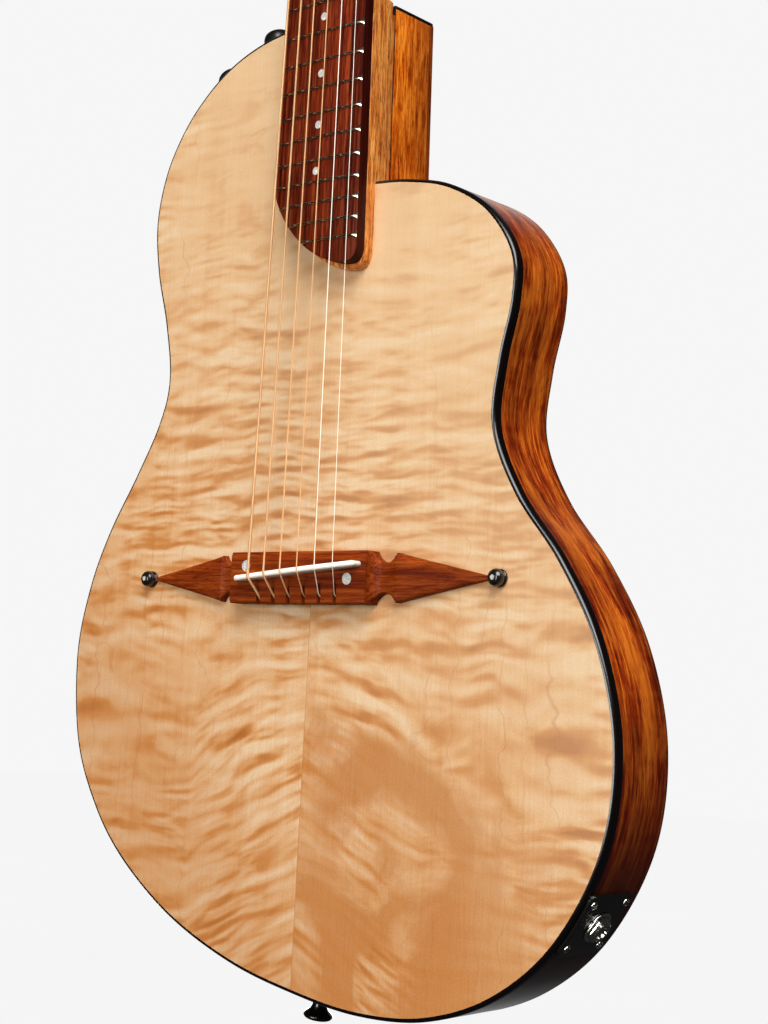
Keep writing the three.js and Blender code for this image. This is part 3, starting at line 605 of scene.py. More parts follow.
def wound(name, color, pitch):
    """Round-wound wire: fine turns across the string's length, with painted shade darkening the grooves
    between them.
    """
    s = Shade(name, Metallic=0.6, Roughness=0.4)
    turns = s.node("TexWave", {"Vector": s.place(grain=True), "Scale": 0.5 / pitch}, "Fac",
                   wave_type="BANDS", bands_direction="X", wave_profile="SIN")
    worn = s.noise(s.place((90, 90, 30)), 3.0, 0.5)
    base = s.mix(s.remap(worn, 0.35, 0.65, 0.0, 0.4), color, dimmed(color, 0.6))
    # Painted shade in the grooves between the turns.
    s.color(s.mix(s.remap(turns, 0.0, 0.4, 0.5, 0.0), base, dimmed(color, 0.25)))
    s.bump(turns, pitch * 0.25, 0.6)
    return s.material


def pearl():
    s = Shade("mother_of_pearl", Roughness=0.18, Coat_Weight=0.8, Coat_Roughness=0.05)
    cells = s.noise(s.place((420, 420, 420)), 4.0, 0.6, 1.2)
    s.color(s.ramp(cells, [(0.32, rgb(104, 122, 122)), (0.44, rgb(206, 208, 198)),
                           (0.55, rgb(160, 150, 146)), (0.68, rgb(244, 244, 238))]))
    s.bump(cells, 0.00002, 0.4)
    return s.material


MAPLE = maple()
# The side wood's foot carries painted shade toward the tail.
SIDE_WOOD = cabinet_wood("side_mahogany", rgb(226, 120, 32), rgb(168, 56, 6), rgb(104, 20, 1), grain=True,
                         along=(48, 640, 640), pores=(150, 2200, 2200), figure=0.6, coat=0.3, flash=0.1,
                         bands=0.55, foot=(-0.79, -0.69))
BACK_WOOD = cabinet_wood("back_mahogany", rgb(190, 96, 32), rgb(150, 66, 18), rgb(92, 32, 8))
HEEL_WOOD = cabinet_wood("heel_mahogany", rgb(244, 148, 44), rgb(212, 98, 11), rgb(142, 48, 3), figure=0.4,
                         along=(560, 560, 50), pores=(1700, 1700, 180), coat=0.3)
NECK_WOOD = cabinet_wood("neck_mahogany", rgb(248, 176, 92), rgb(226, 138, 58), rgb(160, 76, 20),
                         figure=0.35, along=(560, 560, 50), pores=(1700, 1700, 180), coat=0.2, gloss=0.4)
BOARD_WOOD = cabinet_wood("fretboard_rosewood", rgb(146, 60, 26), rgb(104, 31, 9), rgb(50, 7, 1),
                          coat=0.0, gloss=0.5, figure=0.5, flash=0.0, shine=0.08, painted_side_shade=True)
BRIDGE_WOOD = cabinet_wood("bridge_rosewood", rgb(154, 70, 16), rgb(130, 50, 9), rgb(98, 30, 3),
                           along=(20, 520, 520), pores=(80, 1900, 1900),
                           coat=0.0, flash=0.0, gloss=0.5, figure=0.4, shine=0.08)
HEAD_WOOD = cabinet_wood("headstock_rosewood", rgb(132, 62, 36), rgb(98, 40, 22), rgb(56, 18, 10),
                         figure=0.4)
BLACK = polish("black_binding", rgb(10, 5, 5), 0.16, 0.0, 0.08)
KNOB = polish("black_knob", rgb(9, 8, 8), 0.3, 0.1, 0.1)
PLATE = polish("black_plate", rgb(14, 13, 12), 0.12, 0.5, 0.1)
EBONY = polish("turned_ebony", rgb(20, 14, 12), 0.18, 0.4, 0.1, speck=2500.0)
BONE = polish("bone", rgb(250, 244, 230), 0.32, 0.1, 0.1, speck=1600.0)
CHROME = polish("bright_nickel", rgb(214, 212, 206), 0.1, 0.0, 0.08, 1.0)
BRUSHED = polish("worn_nickel", rgb(190, 188, 182), 0.22, 0.0, 0.12, 1.0, 1800.0)
FRET_METAL = polish("fret_wire", rgb(190, 186, 168), 0.14, 0.0, 0.1, 1.0, 1500.0)
PLAIN_WIRE = polish("plain_steel_wire", rgb(255, 247, 226), 0.5, 0.0, 0.08, 0.3, 3000.0)
BRASS = polish("brass_ball", rgb(200, 160, 88), 0.25, 0.0, 0.1, 1.0)
DARK = polish("socket_dark", rgb(8, 8, 8), 0.5, 0.0, 0.1)
FELT = polish("black_felt", rgb(20, 20, 20), 0.85, 0.0, 0.1, speck=4000.0, grain_bump=0.0002)
MARK = polish("white_mark", rgb(235, 233, 226), 0.35)
PEARL = pearl()

# ---------- body ----------
BOTTOM = -BODY_DEPTH
PLATE_THICK = 3
RIM_THICK = 2.5
TONGUE_LIP = 2.2


def board_end(down=0.0, out=0.0):
    """The fretboard's end over the body: a sweep across from the bass edge to a small treble corner."""
    bass, treble = half_board(190) + out, half_board(158) + out
    sweep_part = bezier((-bass, 190 - down), (-22, 172 - down), (0, 150.5 - down), (21, 149.6 - down), 40)
    a, b, c = np.array((21, 149.6 - down)), np.array((treble, 149.4 - down)), np.array((treble, 158))
    t = np.linspace(0, 1, 11)[1:, None]
    return np.vstack([sweep_part, (1 - t) ** 2 * a + 2 * (1 - t) * t * b + t * t * c])


def quarter(x, z, r, first, last, steps=6):
    """Points of an arc about (x, z) from one angle in degrees to another."""
    angles = [radians(first + (last - first) * k / steps) for k in range(steps + 1)]
    return [(x + r * cos(a), z + r * sin(a)) for a in angles]


def make_body():
    inner = shifted(RIM, -BINDING_W)
    # The soundboard reaches a little under the fretboard and the tongue.
    tuck = 1.0
    corner = CUTAWAY_Y - BINDING_W
    notch = board_end(TONGUE_LIP - tuck, -tuck)[::-1]
    top = np.vstack([inner[:-3], [(half_board(CUTAWAY_Y) + 0.2 - tuck, corner)], notch,
                     [(-half_board(285) + tuck, 284.7)]])
    add("soundboard", slab("soundboard", top, -PLATE_THICK, 0), MAPLE, replaces=["top_plate"])
    w = BINDING_W
    hem = [(0, -TOP_BINDING_H), *quarter(-w, -w, w, 0, 90), (-w - 0.05, -TOP_BINDING_H)]
    add("top_edge", sweep("top_edge", RIM, hem), BLACK, replaces=["top_binding"])
    low = BOTTOM + BACK_BINDING_H
    soft = 1.3
    hem = [(0, low), *quarter(-soft, BOTTOM + soft, soft, 0, -90), (-w - 0.05, BOTTOM), (-w - 0.05, low)]
    add("back_edge", sweep("back_edge", RIM, hem), BLACK, replaces=["back_binding"])
    for name, first, last in (("bass", 0, TAIL), ("treble", TAIL, len(RIM) - 1)):
        path, out = RIM[first:last + 1], RIM_OUT[first:last + 1]
        profile = [(-0.05, -TOP_BINDING_H), (-0.05, low),
                   (-RIM_THICK, low), (-RIM_THICK, -TOP_BINDING_H)]
        mesh = sweep("rim_" + name, path, profile, out)
        keep_grain(mesh, [(RIM_LENGTH[first + i], 0 if name == "bass" else 90, z)
                          for i in range(len(path)) for _, z in profile])
        add("rim_" + name, mesh, SIDE_WOOD, replaces=[name + "_side"])
    gap = 0.4
    cover = rounded_rectangle(*COVER, *COVER_HALF, 8)
    hole = rounded_rectangle(*COVER, COVER_HALF[0] + gap, COVER_HALF[1] + gap, 8.3)
    end = half_board(BODY_END)
    back = np.vstack([inner[:-3], [(half_board(CUTAWAY_Y), corner), (end, BODY_END), (-end, BODY_END),
                                   (-end, BODY_END - 4)]])
    plate = slab("back", back, BOTTOM, BOTTOM + PLATE_THICK, holes=[hole])
    add("back", plate, BACK_WOOD, replaces=["back_plate"])
    strip = rounded_rectangle(0, 42, 1.6, 241, 0.4, 2)
    add("back_strip", slab("back_strip", strip, BOTTOM - 0.05, BOTTOM + 1), EBONY)
    add("access_cover", slab("access_cover", cover, BOTTOM - 0.2, BOTTOM + 1.5, 0.4), PLATE,
        replaces=["electronics_cover"])


def make_heel():
    side = half_board(CUTAWAY_Y)
    end = half_board(BODY_END)
    bass, front, step, top = -28.2, 168, 190, HEEL_BOTTOM - 0.25
    outline = [(bass, front), (20, front), (20, step), (side, step),
               (end, BODY_END), (-end, BODY_END), (bass, 280)]
    block = slab("heel", outline, BOTTOM + 0.1, top)
    add("heel", softened(block, 0.5), HEEL_WOOD, replaces=["neck_block"])
    thick, draft = 2, 0.4
    cap_outline = [(-end, BODY_END + 0.02), (end, BODY_END + 0.02),
                   (end - draft, BODY_END + thick), (-end + draft, BODY_END + thick)]
    cap = slab("heel_cap_piece", cap_outline, BOTTOM, top)
    add("heel_end_cap", softened(cap, 0.5), KNOB, replaces=["heel_cap"])
    inset, last = 0.15, BODY_END - 0.2
    seam = [(-25, 192), (side - inset, 192), (end - inset, last), (-25, last)]
    glue = slab("heel_joint", seam, HEEL_BOTTOM - 0.3, HEEL_BOTTOM + 0.1)
    add("heel_joint_line", glue, DARK)


# ---------- neck ----------
def neck_ring(y, depth, power, n=40):
    """The neck's section at y: flat under the fretboard, and a superellipse of that power behind."""
    half = half_board(min(y, SCALE_LENGTH))
    top = BOARD_BOTTOM - 0.05
    ring = []
    for i in range(n + 1):
        t = pi * i / n
        x = copysign(abs(cos(t)) ** (2 / power), cos(t))
        ring.append((half * x, y, top - depth * sin(t) ** (2 / power)))
    return ring


def head_outline(start, shrink=0.0, n=12):
    """The headstock's outline from a place along it, drawn in by `shrink`."""
    top, rise = 155.5 - shrink, 2.75
    root = (NUT_HALF - shrink, max(start, 1.0))
    flare = bezier(root, (23 - shrink, 10), (34.5 - shrink, 12), (36 - shrink, 24), n)[1:]
    shoulder = bezier((32 - shrink, 146), (31 - shrink, 153), (22, 153.5), (16, top), n)
    right = [(NUT_HALF - shrink, start), root, *map(tuple, flare), *map(tuple, shoulder)]
    t = np.linspace(0, 1, 2 * n + 1)[1:]
    crown = [(16 - 32 * k, top + 4 * k * (1 - k) * rise) for k in t]
    left = [(-x, y) for x, y in right[::-1]][1:]
    return np.array(right + crown + left)


TILT = moved(0, HEAD_Y, BOARD_BOTTOM) @ turned(-HEAD_ANGLE, "X")
HEAD_WOOD_TOP = -1.6
HEAD_BACK = -15.5


def make_neck():
    # (y, depth, power): a power of 2 is round, and the ends turn square to meet the heel and the head.
    stations = [(BODY_END - 8, 17.55, 14), (BODY_END + 2.4, 17.55, 14), (BODY_END + 4, 17.3, 5),
                (BODY_END + 8, 17.0, 3), (BODY_END + 13, 16.8, 2.6), (BODY_END + 20, 16.6, 2.35),
                (360, 16.2, 2.2), (430, 15.6, 2.2), (520, 15, 2.2), (600, 14.4, 2.2), (622, 14, 2.5),
                (634, 13.9, 3.4), (642, 14, 5.5), (648, 14.2, 9), (HEAD_Y + 3, 14.4, 12)]
    shaft = loft("shaft", [neck_ring(*s) for s in stations])
    tongue_outline = np.vstack([board_end(TONGUE_LIP), [(half_board(BODY_END - 4), BODY_END - 4),
                                                        (-half_board(BODY_END - 4), BODY_END - 4)]])
    tongue = slab("tongue", tongue_outline, HEEL_BOTTOM, BOARD_BOTTOM - 0.05, 0.9)
    head = slab("head", head_outline(-6), HEAD_BACK, HEAD_WOOD_TOP, 1.2)
    head.transform(TILT)
    add("neck_shaft", combined("neck_shaft", "UNION", shaft, tongue, head), NECK_WOOD,
        replaces=["neck"])
    face = slab("head_face", head_outline(1.2, 0.3), HEAD_WOOD_TOP + 0.02, 0, 0.35)
    add("head_face", face, HEAD_WOOD, place=TILT, replaces=["head_veneer"])
    half = bezier((8, 4), (8.5, 15), (5, 24), (0, 28), 14)
    cover = np.vstack([half, half[::-1][1:] * (-1, 1)])
    add("rod_cover", slab("rod_cover", cover, 0.02, 1.8, 0.5), PLATE, place=TILT,
        replaces=["truss_rod_cover"])


def make_fretboard():
    make_fingerboard()
    make_frets()
    make_inlays()
    nut = [(0, BOARD_BOTTOM), (4.9, BOARD_BOTTOM), (4.9, NUT_TOP - 1.9), (4.4, NUT_TOP - 1.4),
           (2.2, NUT_TOP - 0.15), (0.6, NUT_TOP), (0, NUT_TOP - 0.5)]
    rings = [[(x, SCALE_LENGTH + 0.15 + a, b) for a, b in nut] for x in (-NUT_HALF, NUT_HALF)]
    add("nut_piece", softened(loft("nut_piece", rings), 0.3), BONE, replaces=["nut"])


def make_fingerboard():
    """A cambered board that widens from the nut to its slanted end, as a grid of rows along the neck."""
    rows = 10
    verts, below = [], []
    for x, y in board_end():
        s = x / half_board(y)
        for k in range(rows + 1):
            yy = y + (SCALE_LENGTH - y) * k / rows
            xx = s * half_board(yy)
            verts.append((xx, yy, BOARD_TOP - camber(xx)))
            below.append((xx, yy, BOARD_BOTTOM))
    n, total = rows + 1, len(verts)
    columns = total // n
    faces = []
    for i in range(columns - 1):
        for k in range(rows):
            a = i * n + k
            b = total + a
            faces.append((a, a + n, a + n + 1, a + 1))
            faces.append((b, b + 1, b + n + 1, b + n))
    border = [i * n for i in range(columns)] + [(columns - 1) * n + k for k in range(1, n)]
    border += [i * n + rows for i in range(columns - 2, -1, -1)] + list(range(rows - 1, 0, -1))
    for a, b in zip(border, border[1:] + border[:1]):
        faces.append((a, total + a, total + b, b))
    board = softened(make_mesh("fretboard_piece", verts + below, faces), 0.35, 2, 50)
    add("fingerboard", board, BOARD_WOOD, replaces=["fretboard"], angle=30)


def make_frets():
    """Crowned wire across the board, bevelled at both ends; the last ones start at the slanted end."""
    width, height, bevel = 0.75, 0.95, 1.9
    end = board_end()
    for fret in range(1, 25):
        y = SCALE_LENGTH * 2 ** (-fret / 12)
        right = half_board(y) - 0.15
        crossing = [p for p, q in zip(end, end[1:]) if p[1] >= y > q[1]]
        left = crossing[0][0] + 0.6 if crossing else -right
        stops = np.linspace(left + bevel, right - bevel, 15)
        rings = []
        for x, rise, flare in [(left, 0.12, 1), *[(x, 1.0, 1) for x in stops], (right, 0.14, 3.2)]:
            base = BOARD_TOP - camber(x) - 0.1
            w = width * flare
            ring = [(x, y - w, base)]
            for k in range(9):
                a = pi * k / 8
                ring.append((x, y - w * cos(a), base + 0.1 + height * rise * sin(a) ** 0.8))
            ring.append((x, y + w, base))
            rings.append(ring)
        add(f"fret_{fret}", loft("fret", rings), FRET_METAL, angle=50)


def make_inlays():
    """Pearl dots in the board, and a white dot for each on the bass edge."""
    for fret in (3, 5, 7, 9, 12, 15, 17, 19, 21):
        y = SCALE_LENGTH * (2 ** (-fret / 12) + 2 ** (-(fret - 1) / 12)) / 2
        for x in ((-9, 9) if fret == 12 else (0,)):
            label = f"{fret}" + ("" if x == 0 else "_bass" if x < 0 else "_treble")
            add(f"inlay_{label}", rod("dot", 2.1, -0.6, 0.03, 28, 0.02), PEARL,
                place=moved(x, y, BOARD_TOP - camber(x) + 0.01))
            place = moved(-half_board(y) - 0.02, y + x * 0.4, BOARD_TOP - 3.2) @ turned(-pi / 2, "Y")
            add(f"side_dot_{label}", rod("side_dot", 1.0, -0.5, 0.04, 16), MARK, place=place)


# ---------- bridge ----------
BRIDGE_HALF = 12.7
COVE = 5.8
NOTCH_NECK = 7.3
WING_HALF, WING_TOP = 11.4, 5.2
TIP_X, TIP_HALF, TIP_TOP = 109.0, 0.9, 2.4
PIN_X = 114.2


def bridge_stations(end, notch_x, notch_r, reach):
    """(x, half width, top) from the block's end through the cove and the notch to the wing's tip."""
    start, low = notch_x + reach, BRIDGE_TOP - COVE

    def half(x):
        opening = sqrt(max(notch_r**2 - (x - notch_x) ** 2, 0))
        return min(BRIDGE_HALF, NOTCH_NECK + notch_r - opening)

    out = []
    for k in range(15):
        t = pi / 2 * k / 14
        x = end + COVE * (1 - cos(t))
        out.append((x, half(x), BRIDGE_TOP - COVE * sin(t)))
    for k in range(1, 17):
        x = end + COVE + (start - end - COVE) * k / 16
        out.append((x, min(half(x), WING_HALF + 0.3), low + (WING_TOP - low) * (k / 16) ** 2))
    for k in range(17):
        t = k / 16
        out.append((start + 0.1 + (TIP_X - start - 0.1) * t, WING_HALF + (TIP_HALF - WING_HALF) * t,
                    WING_TOP + (TIP_TOP - WING_TOP) * t))
    return out


def bridge_ring(x, half, top, crown):
    base = 0.05
    r = min(1.0, half * 0.3)
    right = [(half - r + r * cos(a), top - r + r * sin(a)) for a in (pi / 2 * k / 4 for k in range(5))]
    flat = [((half - r) * (1 - k / 5), top) for k in range(1, 5)]
    upper = right + flat + [(0, top)] + [(-y, z) for y, z in (right + flat)[::-1]]
    ring = [(-half, base), (half, base)] + [(y, z - crown * (y / half) ** 2) for y, z in upper]
    return [(x, BRIDGE_Y + y, z) for y, z in ring]


def string_x(number, spread):
    return (0.5 - (number - 1) / 5) * spread


def eased(reach, r, count):
    """Places from -reach to reach, close together within r of both ends."""
    first = [-reach + r * (1 - cos(pi / 2 * k / 6)) for k in range(7)]
    return first + list(np.linspace(-reach + r, reach - r, count)[1:-1]) + [-x for x in first[::-1]]


def make_bridge():
    treble = bridge_stations(42.7, 50.0, 7.9, 7.3)
    bass = [(-x, half, top) for x, half, top in bridge_stations(46.3, 52.3, 6.3, 6.0)[::-1]]
    middle = [(x, BRIDGE_HALF, BRIDGE_TOP) for x in (-45.9, -30, -15, 0, 15, 30, 42.3)]
    rings = []
    for x, half, top in bass + middle + treble:
        crown = 1.5 * min(max((abs(x) - 56) / 6, 0), 1) * half / WING_HALF
        rings.append(bridge_ring(x, half, top + crown * 0.35, crown))
    blank = loft("bridge_piece", rings)
    # Each string runs out of the block through a slot that narrows to a point behind the saddle.
    tools = []
    for number, radius in enumerate(STRING_RADII, 1):
        x = ANCHOR_X + string_x(number, ANCHOR_SPREAD)
        tip = SADDLE_Y + SADDLE_SLOPE * string_x(number, SADDLE_SPREAD) - 6.6
        w = 1.05 + radius * 0.5
        side = bezier((0, tip), (w * 0.6, tip - 1.6), (w, tip - 3.2), (w, tip - 6), 8)
        lens = np.vstack([side, [(w * 0.85, -30), (-w * 0.85, -30)], side[::-1][:-1] * (-1, 1)])
        tools.append(slab("slot", lens + (x, 0), 4.2, 20))
    along_saddle = moved(0, SADDLE_Y, 0) @ turned(atan(SADDLE_SLOPE), "Z")
    slot_cut = slab("saddle_slot", rounded_rectangle(0, 0, 39.7, 1.45, 1.4), 3.5, 20)
    slot_cut.transform(along_saddle)
    add("bridge_piece", combined("bridge_piece", "DIFFERENCE", blank, *tools, slot_cut), BRIDGE_WOOD,
        replaces=["bridge"], angle=32)

    reach, half, foot = 39.5, 1.3, 4.0
    rings = []
    for x in eased(reach, half, 25):
        inset = max(abs(x) - (reach - half), 0)
        w = sqrt(max(half**2 - inset**2, 0.01))
        shoulder = SADDLE_TOP - camber(x) - 1.2 * (inset / half) ** 2 - 1.0
        ring = [(x, -w, foot), (x, w, foot), (x, w, shoulder)]
        ring += [(x, w * cos(a), shoulder + sin(a)) for a in np.linspace(0, pi, 9)[1:-1]]
        ring.append((x, -w, shoulder))
        rings.append(ring)
    add("saddle_piece", loft("saddle_piece", rings), BONE, place=along_saddle, replaces=["saddle"])

    for name, x, y in (("bass", -36.0, 0.6), ("treble", 31.1, -6.0)):
        add("bridge_dot_" + name, rod("bridge_dot", 2.8, -1, 0.05, 36, 0.04), PEARL,
            place=moved(x, y, BRIDGE_TOP))
    for name, side in (("bass", -1), ("treble", 1)):
        make_bridge_pin(name, moved(side * PIN_X, BRIDGE_Y, 0))


def make_bridge_pin(name, place):
    profile = [(0, -9), (2.4, -9), (2.4, 0.05), (4.2, 0.05), (4.2, 1.2), (3.4, 1.6), (3.4, 2.0),
               (4.1, 2.5), (4.2, 3.8), (3.6, 5.3), (2.3, 6.3), (0, 6.4)]
    head = lathe("pin", arc_profile(profile, 0.35), 48)
    add(f"bridge_pin_{name}_head", head, EBONY, place=place, replaces=["bridge_pin_" + name])
    add(f"pin_dot_{name}", rod("pin_dot", 1.15, 6, 6.46, 24, 0.06), PEARL, place=place)
    ring = lathe("pin_ring", [(1.2, 6.1), (1.55, 6.1), (1.55, 6.48), (1.2, 6.5)], 32)
    add(f"pin_ring_{name}", ring, CHROME, place=place)


# ---------- strings ----------
# The tuner posts on the headstock as (x, y, side), in the order of the strings from treble to bass.
POST_PLACES = [(22, 36), (21.5, 76), (21, 116)]
POSTS = [(x, y, 1) for x, y in POST_PLACES] + [(-x, y, -1) for x, y in POST_PLACES[::-1]]
POST_R = 3
WRAP_Z = 6.5
WRAP_TURNS = 2.5


def string_path(number, radius):
    """From the ball up through the bridge, over the saddle and the nut to the side of the post."""
    x0, x1 = string_x(number, SADDLE_SPREAD), string_x(number, NUT_SPREAD)
    post_x, post_y, side = POSTS[number - 1]
    peak_y = SADDLE_Y + SADDLE_SLOPE * x0
    peak = SADDLE_TOP - camber(x0) + radius - 0.08
    nut_z = NUT_TOP + radius - 0.1
    ax = ANCHOR_X + string_x(number, ANCHOR_SPREAD)
    exit_y, exit_z = -13.2, 10.1
    path = [(ax, -17.6, 5.4 + radius), (ax, -15.4, 7.4 + radius), (ax, exit_y, exit_z)]
    for t in (0.35, 0.7, 0.93):
        path.append((ax + (x0 - ax) * t, exit_y + (peak_y - 0.9 - exit_y) * t,
                     exit_z + (peak - 0.35 - exit_z) * t))
    path += [(x0, peak_y - 0.3, peak - 0.03), (x0, peak_y + 0.5, peak), (x0, peak_y + 1.2, peak - 0.02)]
    steps = 24
    for k in range(1, steps + 1):
        t = k / steps
        path.append((x0 + (x1 - x0) * t, peak_y + 1.2 + (SCALE_LENGTH - 0.8 - peak_y) * t,
                     peak - 0.02 + (nut_z - peak + 0.02) * t))
    path += [(x1, SCALE_LENGTH + 2.4, nut_z - 0.1), (x1, SCALE_LENGTH + 5.1, nut_z - 1.4)]
    path.append(tuple(TILT @ Vector((post_x - side * (POST_R + radius), post_y - 1, WRAP_Z))))
    return path


def wrap_path(number, radius):
    """The turns round the post, in the headstock's own frame."""
    x, y, side = POSTS[number - 1]
    r = POST_R + radius
    count = int(20 * WRAP_TURNS)
    path = []
    for k in range(count + 1):
        a = pi + (0 if side > 0 else pi) - side * 0.15 + side * 2 * pi * WRAP_TURNS * k / count
        path.append((x + r * cos(a), y + r * sin(a), WRAP_Z - 2.2 * radius * WRAP_TURNS * k / count))
    return path


def make_strings():
    bronze = rgb(250, 196, 140)
    for number, radius in enumerate(STRING_RADII, 1):
        if number <= 2:
            material, slot_name = PLAIN_WIRE, "steel"
        else:
            slot_name = "bronze"
            material = wound(f"bronze_wound_{number}", bronze, 0.00022 + radius * 0.00035)
        wire = tube("wire", string_path(number, radius), radius, 12)
        add(f"wire_{number}", wire, material, replaces=[f"string_{number}"], angle=60)
        ball = lathe("ball", arc_profile([(0.5, -1.4), (1.2, -1.4), (1.2, 1.4), (0.5, 1.4)], 0.3), 20)
        place = moved(ANCHOR_X + string_x(number, ANCHOR_SPREAD), -17.4, 5.7) @ turned(pi / 2, "Y")
        add(f"string_ball_{number}", ball, BRASS, place=place)
        winding = tube("winding", wrap_path(number, radius), radius, 8)
        add(f"string_wrap_{number}", winding, material, body=f"post_{number}", place=TILT,
            angle=60)


# ---------- tuners ----------
CASE_TOP, CASE_BOTTOM = HEAD_BACK - 0.02, HEAD_BACK - 10.6
WORM_Y, WORM_Z = 8.2, HEAD_BACK - 5


def phillips_screw(radius, height):
    dome = lathe("screw", arc_profile([(0, -0.6), (radius, -0.6), (radius, height * 0.4),
                                       (radius * 0.5, height), (0, height)], radius * 0.4), 28)
    arm, reach = radius * 0.16, radius * 0.62
    cross = [slab("cross", rounded_rectangle(0, 0, a, b, arm * 0.5, 2), height * 0.35, height + 1)
             for a, b in ((reach, arm), (arm, reach))]
    return combined("screw", "DIFFERENCE", dome, *cross)


def on_worm(side, x=0.0):
    """Lays a piece made about +z along the worm shaft, pointing out to its own side."""
    return moved(x, WORM_Y, WORM_Z) @ turned(side * pi / 2, "Y")


def case_mesh(side):
    """The gear case with its sleeve through the wood and its nose over the shaft, bored for both."""
    case = slab("case", rounded_rectangle(0, 2.25, 10, 10.75, 3), CASE_BOTTOM, CASE_TOP, 1.6, steps=5)
    sleeve = rod("sleeve", 4.7, CASE_TOP - 2, -0.3, 32)
    nose = lathe("nose", arc_profile([(0, 0), (3.4, 0), (3.4, 11.6), (2.6, 12.2), (0, 12.2)], 0.5), 28)
    nose.transform(on_worm(side))
    bore = rod("bore", 3.2, CASE_TOP - 4, 2, 24)
    shaft = rod("shaft_room", 1.95, -1, 20, 20)
    shaft.transform(on_worm(side, side * 6))
    return combined("case", "DIFFERENCE", combined("case", "UNION", case, sleeve, nose), bore, shaft)


def post_mesh():
    foot, flange = CASE_BOTTOM + 3.9, CASE_TOP - 1.5
    profile = [(0, foot), (5.3, foot), (5.3, flange), (POST_R, flange), (POST_R, 4.2), (2.55, 5.4),
               (2.55, 8.4), (POST_R, 9.6), (POST_R, 13.3), (2.3, 14), (0, 14)]
    hole = rod("hole", 0.8, -5, 5, 14)
    hole.transform(moved(0, 0, 9.2) @ turned(pi / 2, "X"))
    return combined("post", "DIFFERENCE", lathe("post", arc_profile(profile, 0.4), 36), hole)


def key_mesh(side):
    """The worm shaft's stem and collar with the grip on its end."""
    profile = [(0, 4), (1.75, 4), (1.75, 12.6), (3.0, 13.0), (3.0, 14.4), (2.0, 15.2), (1.9, 17), (0, 17)]
    key = joined("key", lathe("stem", arc_profile(profile, 0.3), 28), grip_mesh())
    key.transform(on_worm(side))
    return key


def grip_mesh():
    """The tuner button's grip about +z: an oval pad, thinner toward its rim."""
    rings = []
    for k in range(1, 24):
        t = -cos(pi * k / 24)
        w = (1 - abs(t) ** 2.6) ** (1 / 2.6)
        ring = []
        for j in range(36):
            a = 2 * pi * j / 36
            across = copysign(abs(sin(a)) ** 0.9, sin(a))
            ring.append((8.2 * w * cos(a) * (1 + 0.10 * t), 3.6 * w ** 0.8 * across, 23 + 7.2 * t))
        rings.append(ring)
    return loft("grip", rings)


def make_tuners():
    for number, (x, y, side) in enumerate(POSTS, 1):
        here = TILT @ moved(x, y, 0)
        add(f"tuner_case_{number}", case_mesh(side), CHROME, place=here,
            replaces=[f"tuner_housing_{number}"])
        ferrule = arc_profile([(3.3, 0.02), (5.6, 0.02), (5.6, 0.9), (4.6, 1.9), (3.3, 1.9)], 0.35)
        add(f"tuner_ferrule_{number}", lathe("ferrule", ferrule, 40), CHROME, place=here)
        add(f"tuner_post_piece_{number}", post_mesh(), CHROME, body=f"post_{number}",
            place=here, replaces=[f"tuner_post_{number}"])
        add(f"tuner_key_{number}", key_mesh(side), CHROME, body=f"button_{number}",
            place=here, replaces=[f"tuner_button_{number}"])
        spot = here @ moved(-side * 5.5, 9.5, CASE_BOTTOM) @ turned(pi, "X")
        add(f"tuner_screw_{number}", phillips_screw(1.6, 0.8), BRUSHED, place=spot)


# ---------- fittings ----------
def make_knobs():
    for name, x, y in (("volume", -59, 283), ("tone", -91, 267)):
        place = outward(rim_place(x, y), KNOB_Z)
        nut = lathe("knob_nut", arc_profile([(0, -1), (6.5, -1), (6.5, 0.7), (0, 0.7)], 0.2), 32)
        add(f"{name}_washer", nut, BRUSHED, place=place)
        skirt = [(0, 1.0), (7.9, 1.0), (8.1, 2.2), (7.9, 9.4), (6.8, 12.2), (4.2, 13.5), (0, 13.9)]
        cap = lathe("knob", arc_profile(skirt, 1.3), 72)
        add(f"{name}_cap", cap, KNOB, body=name, place=place, replaces=[name + "_knob"])
        pointer = slab("pointer", rounded_rectangle(4.0, 0, 1.9, 0.4, 0.35, 3), 12.6, 13.75)
        add(f"{name}_pointer", pointer, MARK, body=name, place=place)


def jack_panel(middle, reach, half, r, thick):
    """A plate bent along the rim about its length at the middle, with round corners."""
    rings = []
    for s in eased(reach, r, 15):
        p, n = (np.array([np.interp(middle + s, RIM_LENGTH, line[:, k]) for k in (0, 1)])
                for line in (RIM, RIM_OUT))
        over = max(abs(s) - (reach - r), 0)
        h = half - (r - sqrt(max(r * r - over * over, 0)))
        edge = 0.5 if abs(s) < reach - 0.3 else 0.1
        rim = [(0.05, h), (thick - 0.4, h), (thick, h - edge),
               (thick, -h + edge), (thick - 0.4, -h), (0.05, -h)]
        rings.append([(*(p + d * n), JACK_Z + z) for d, z in rim])
    return loft("jack_panel", rings)


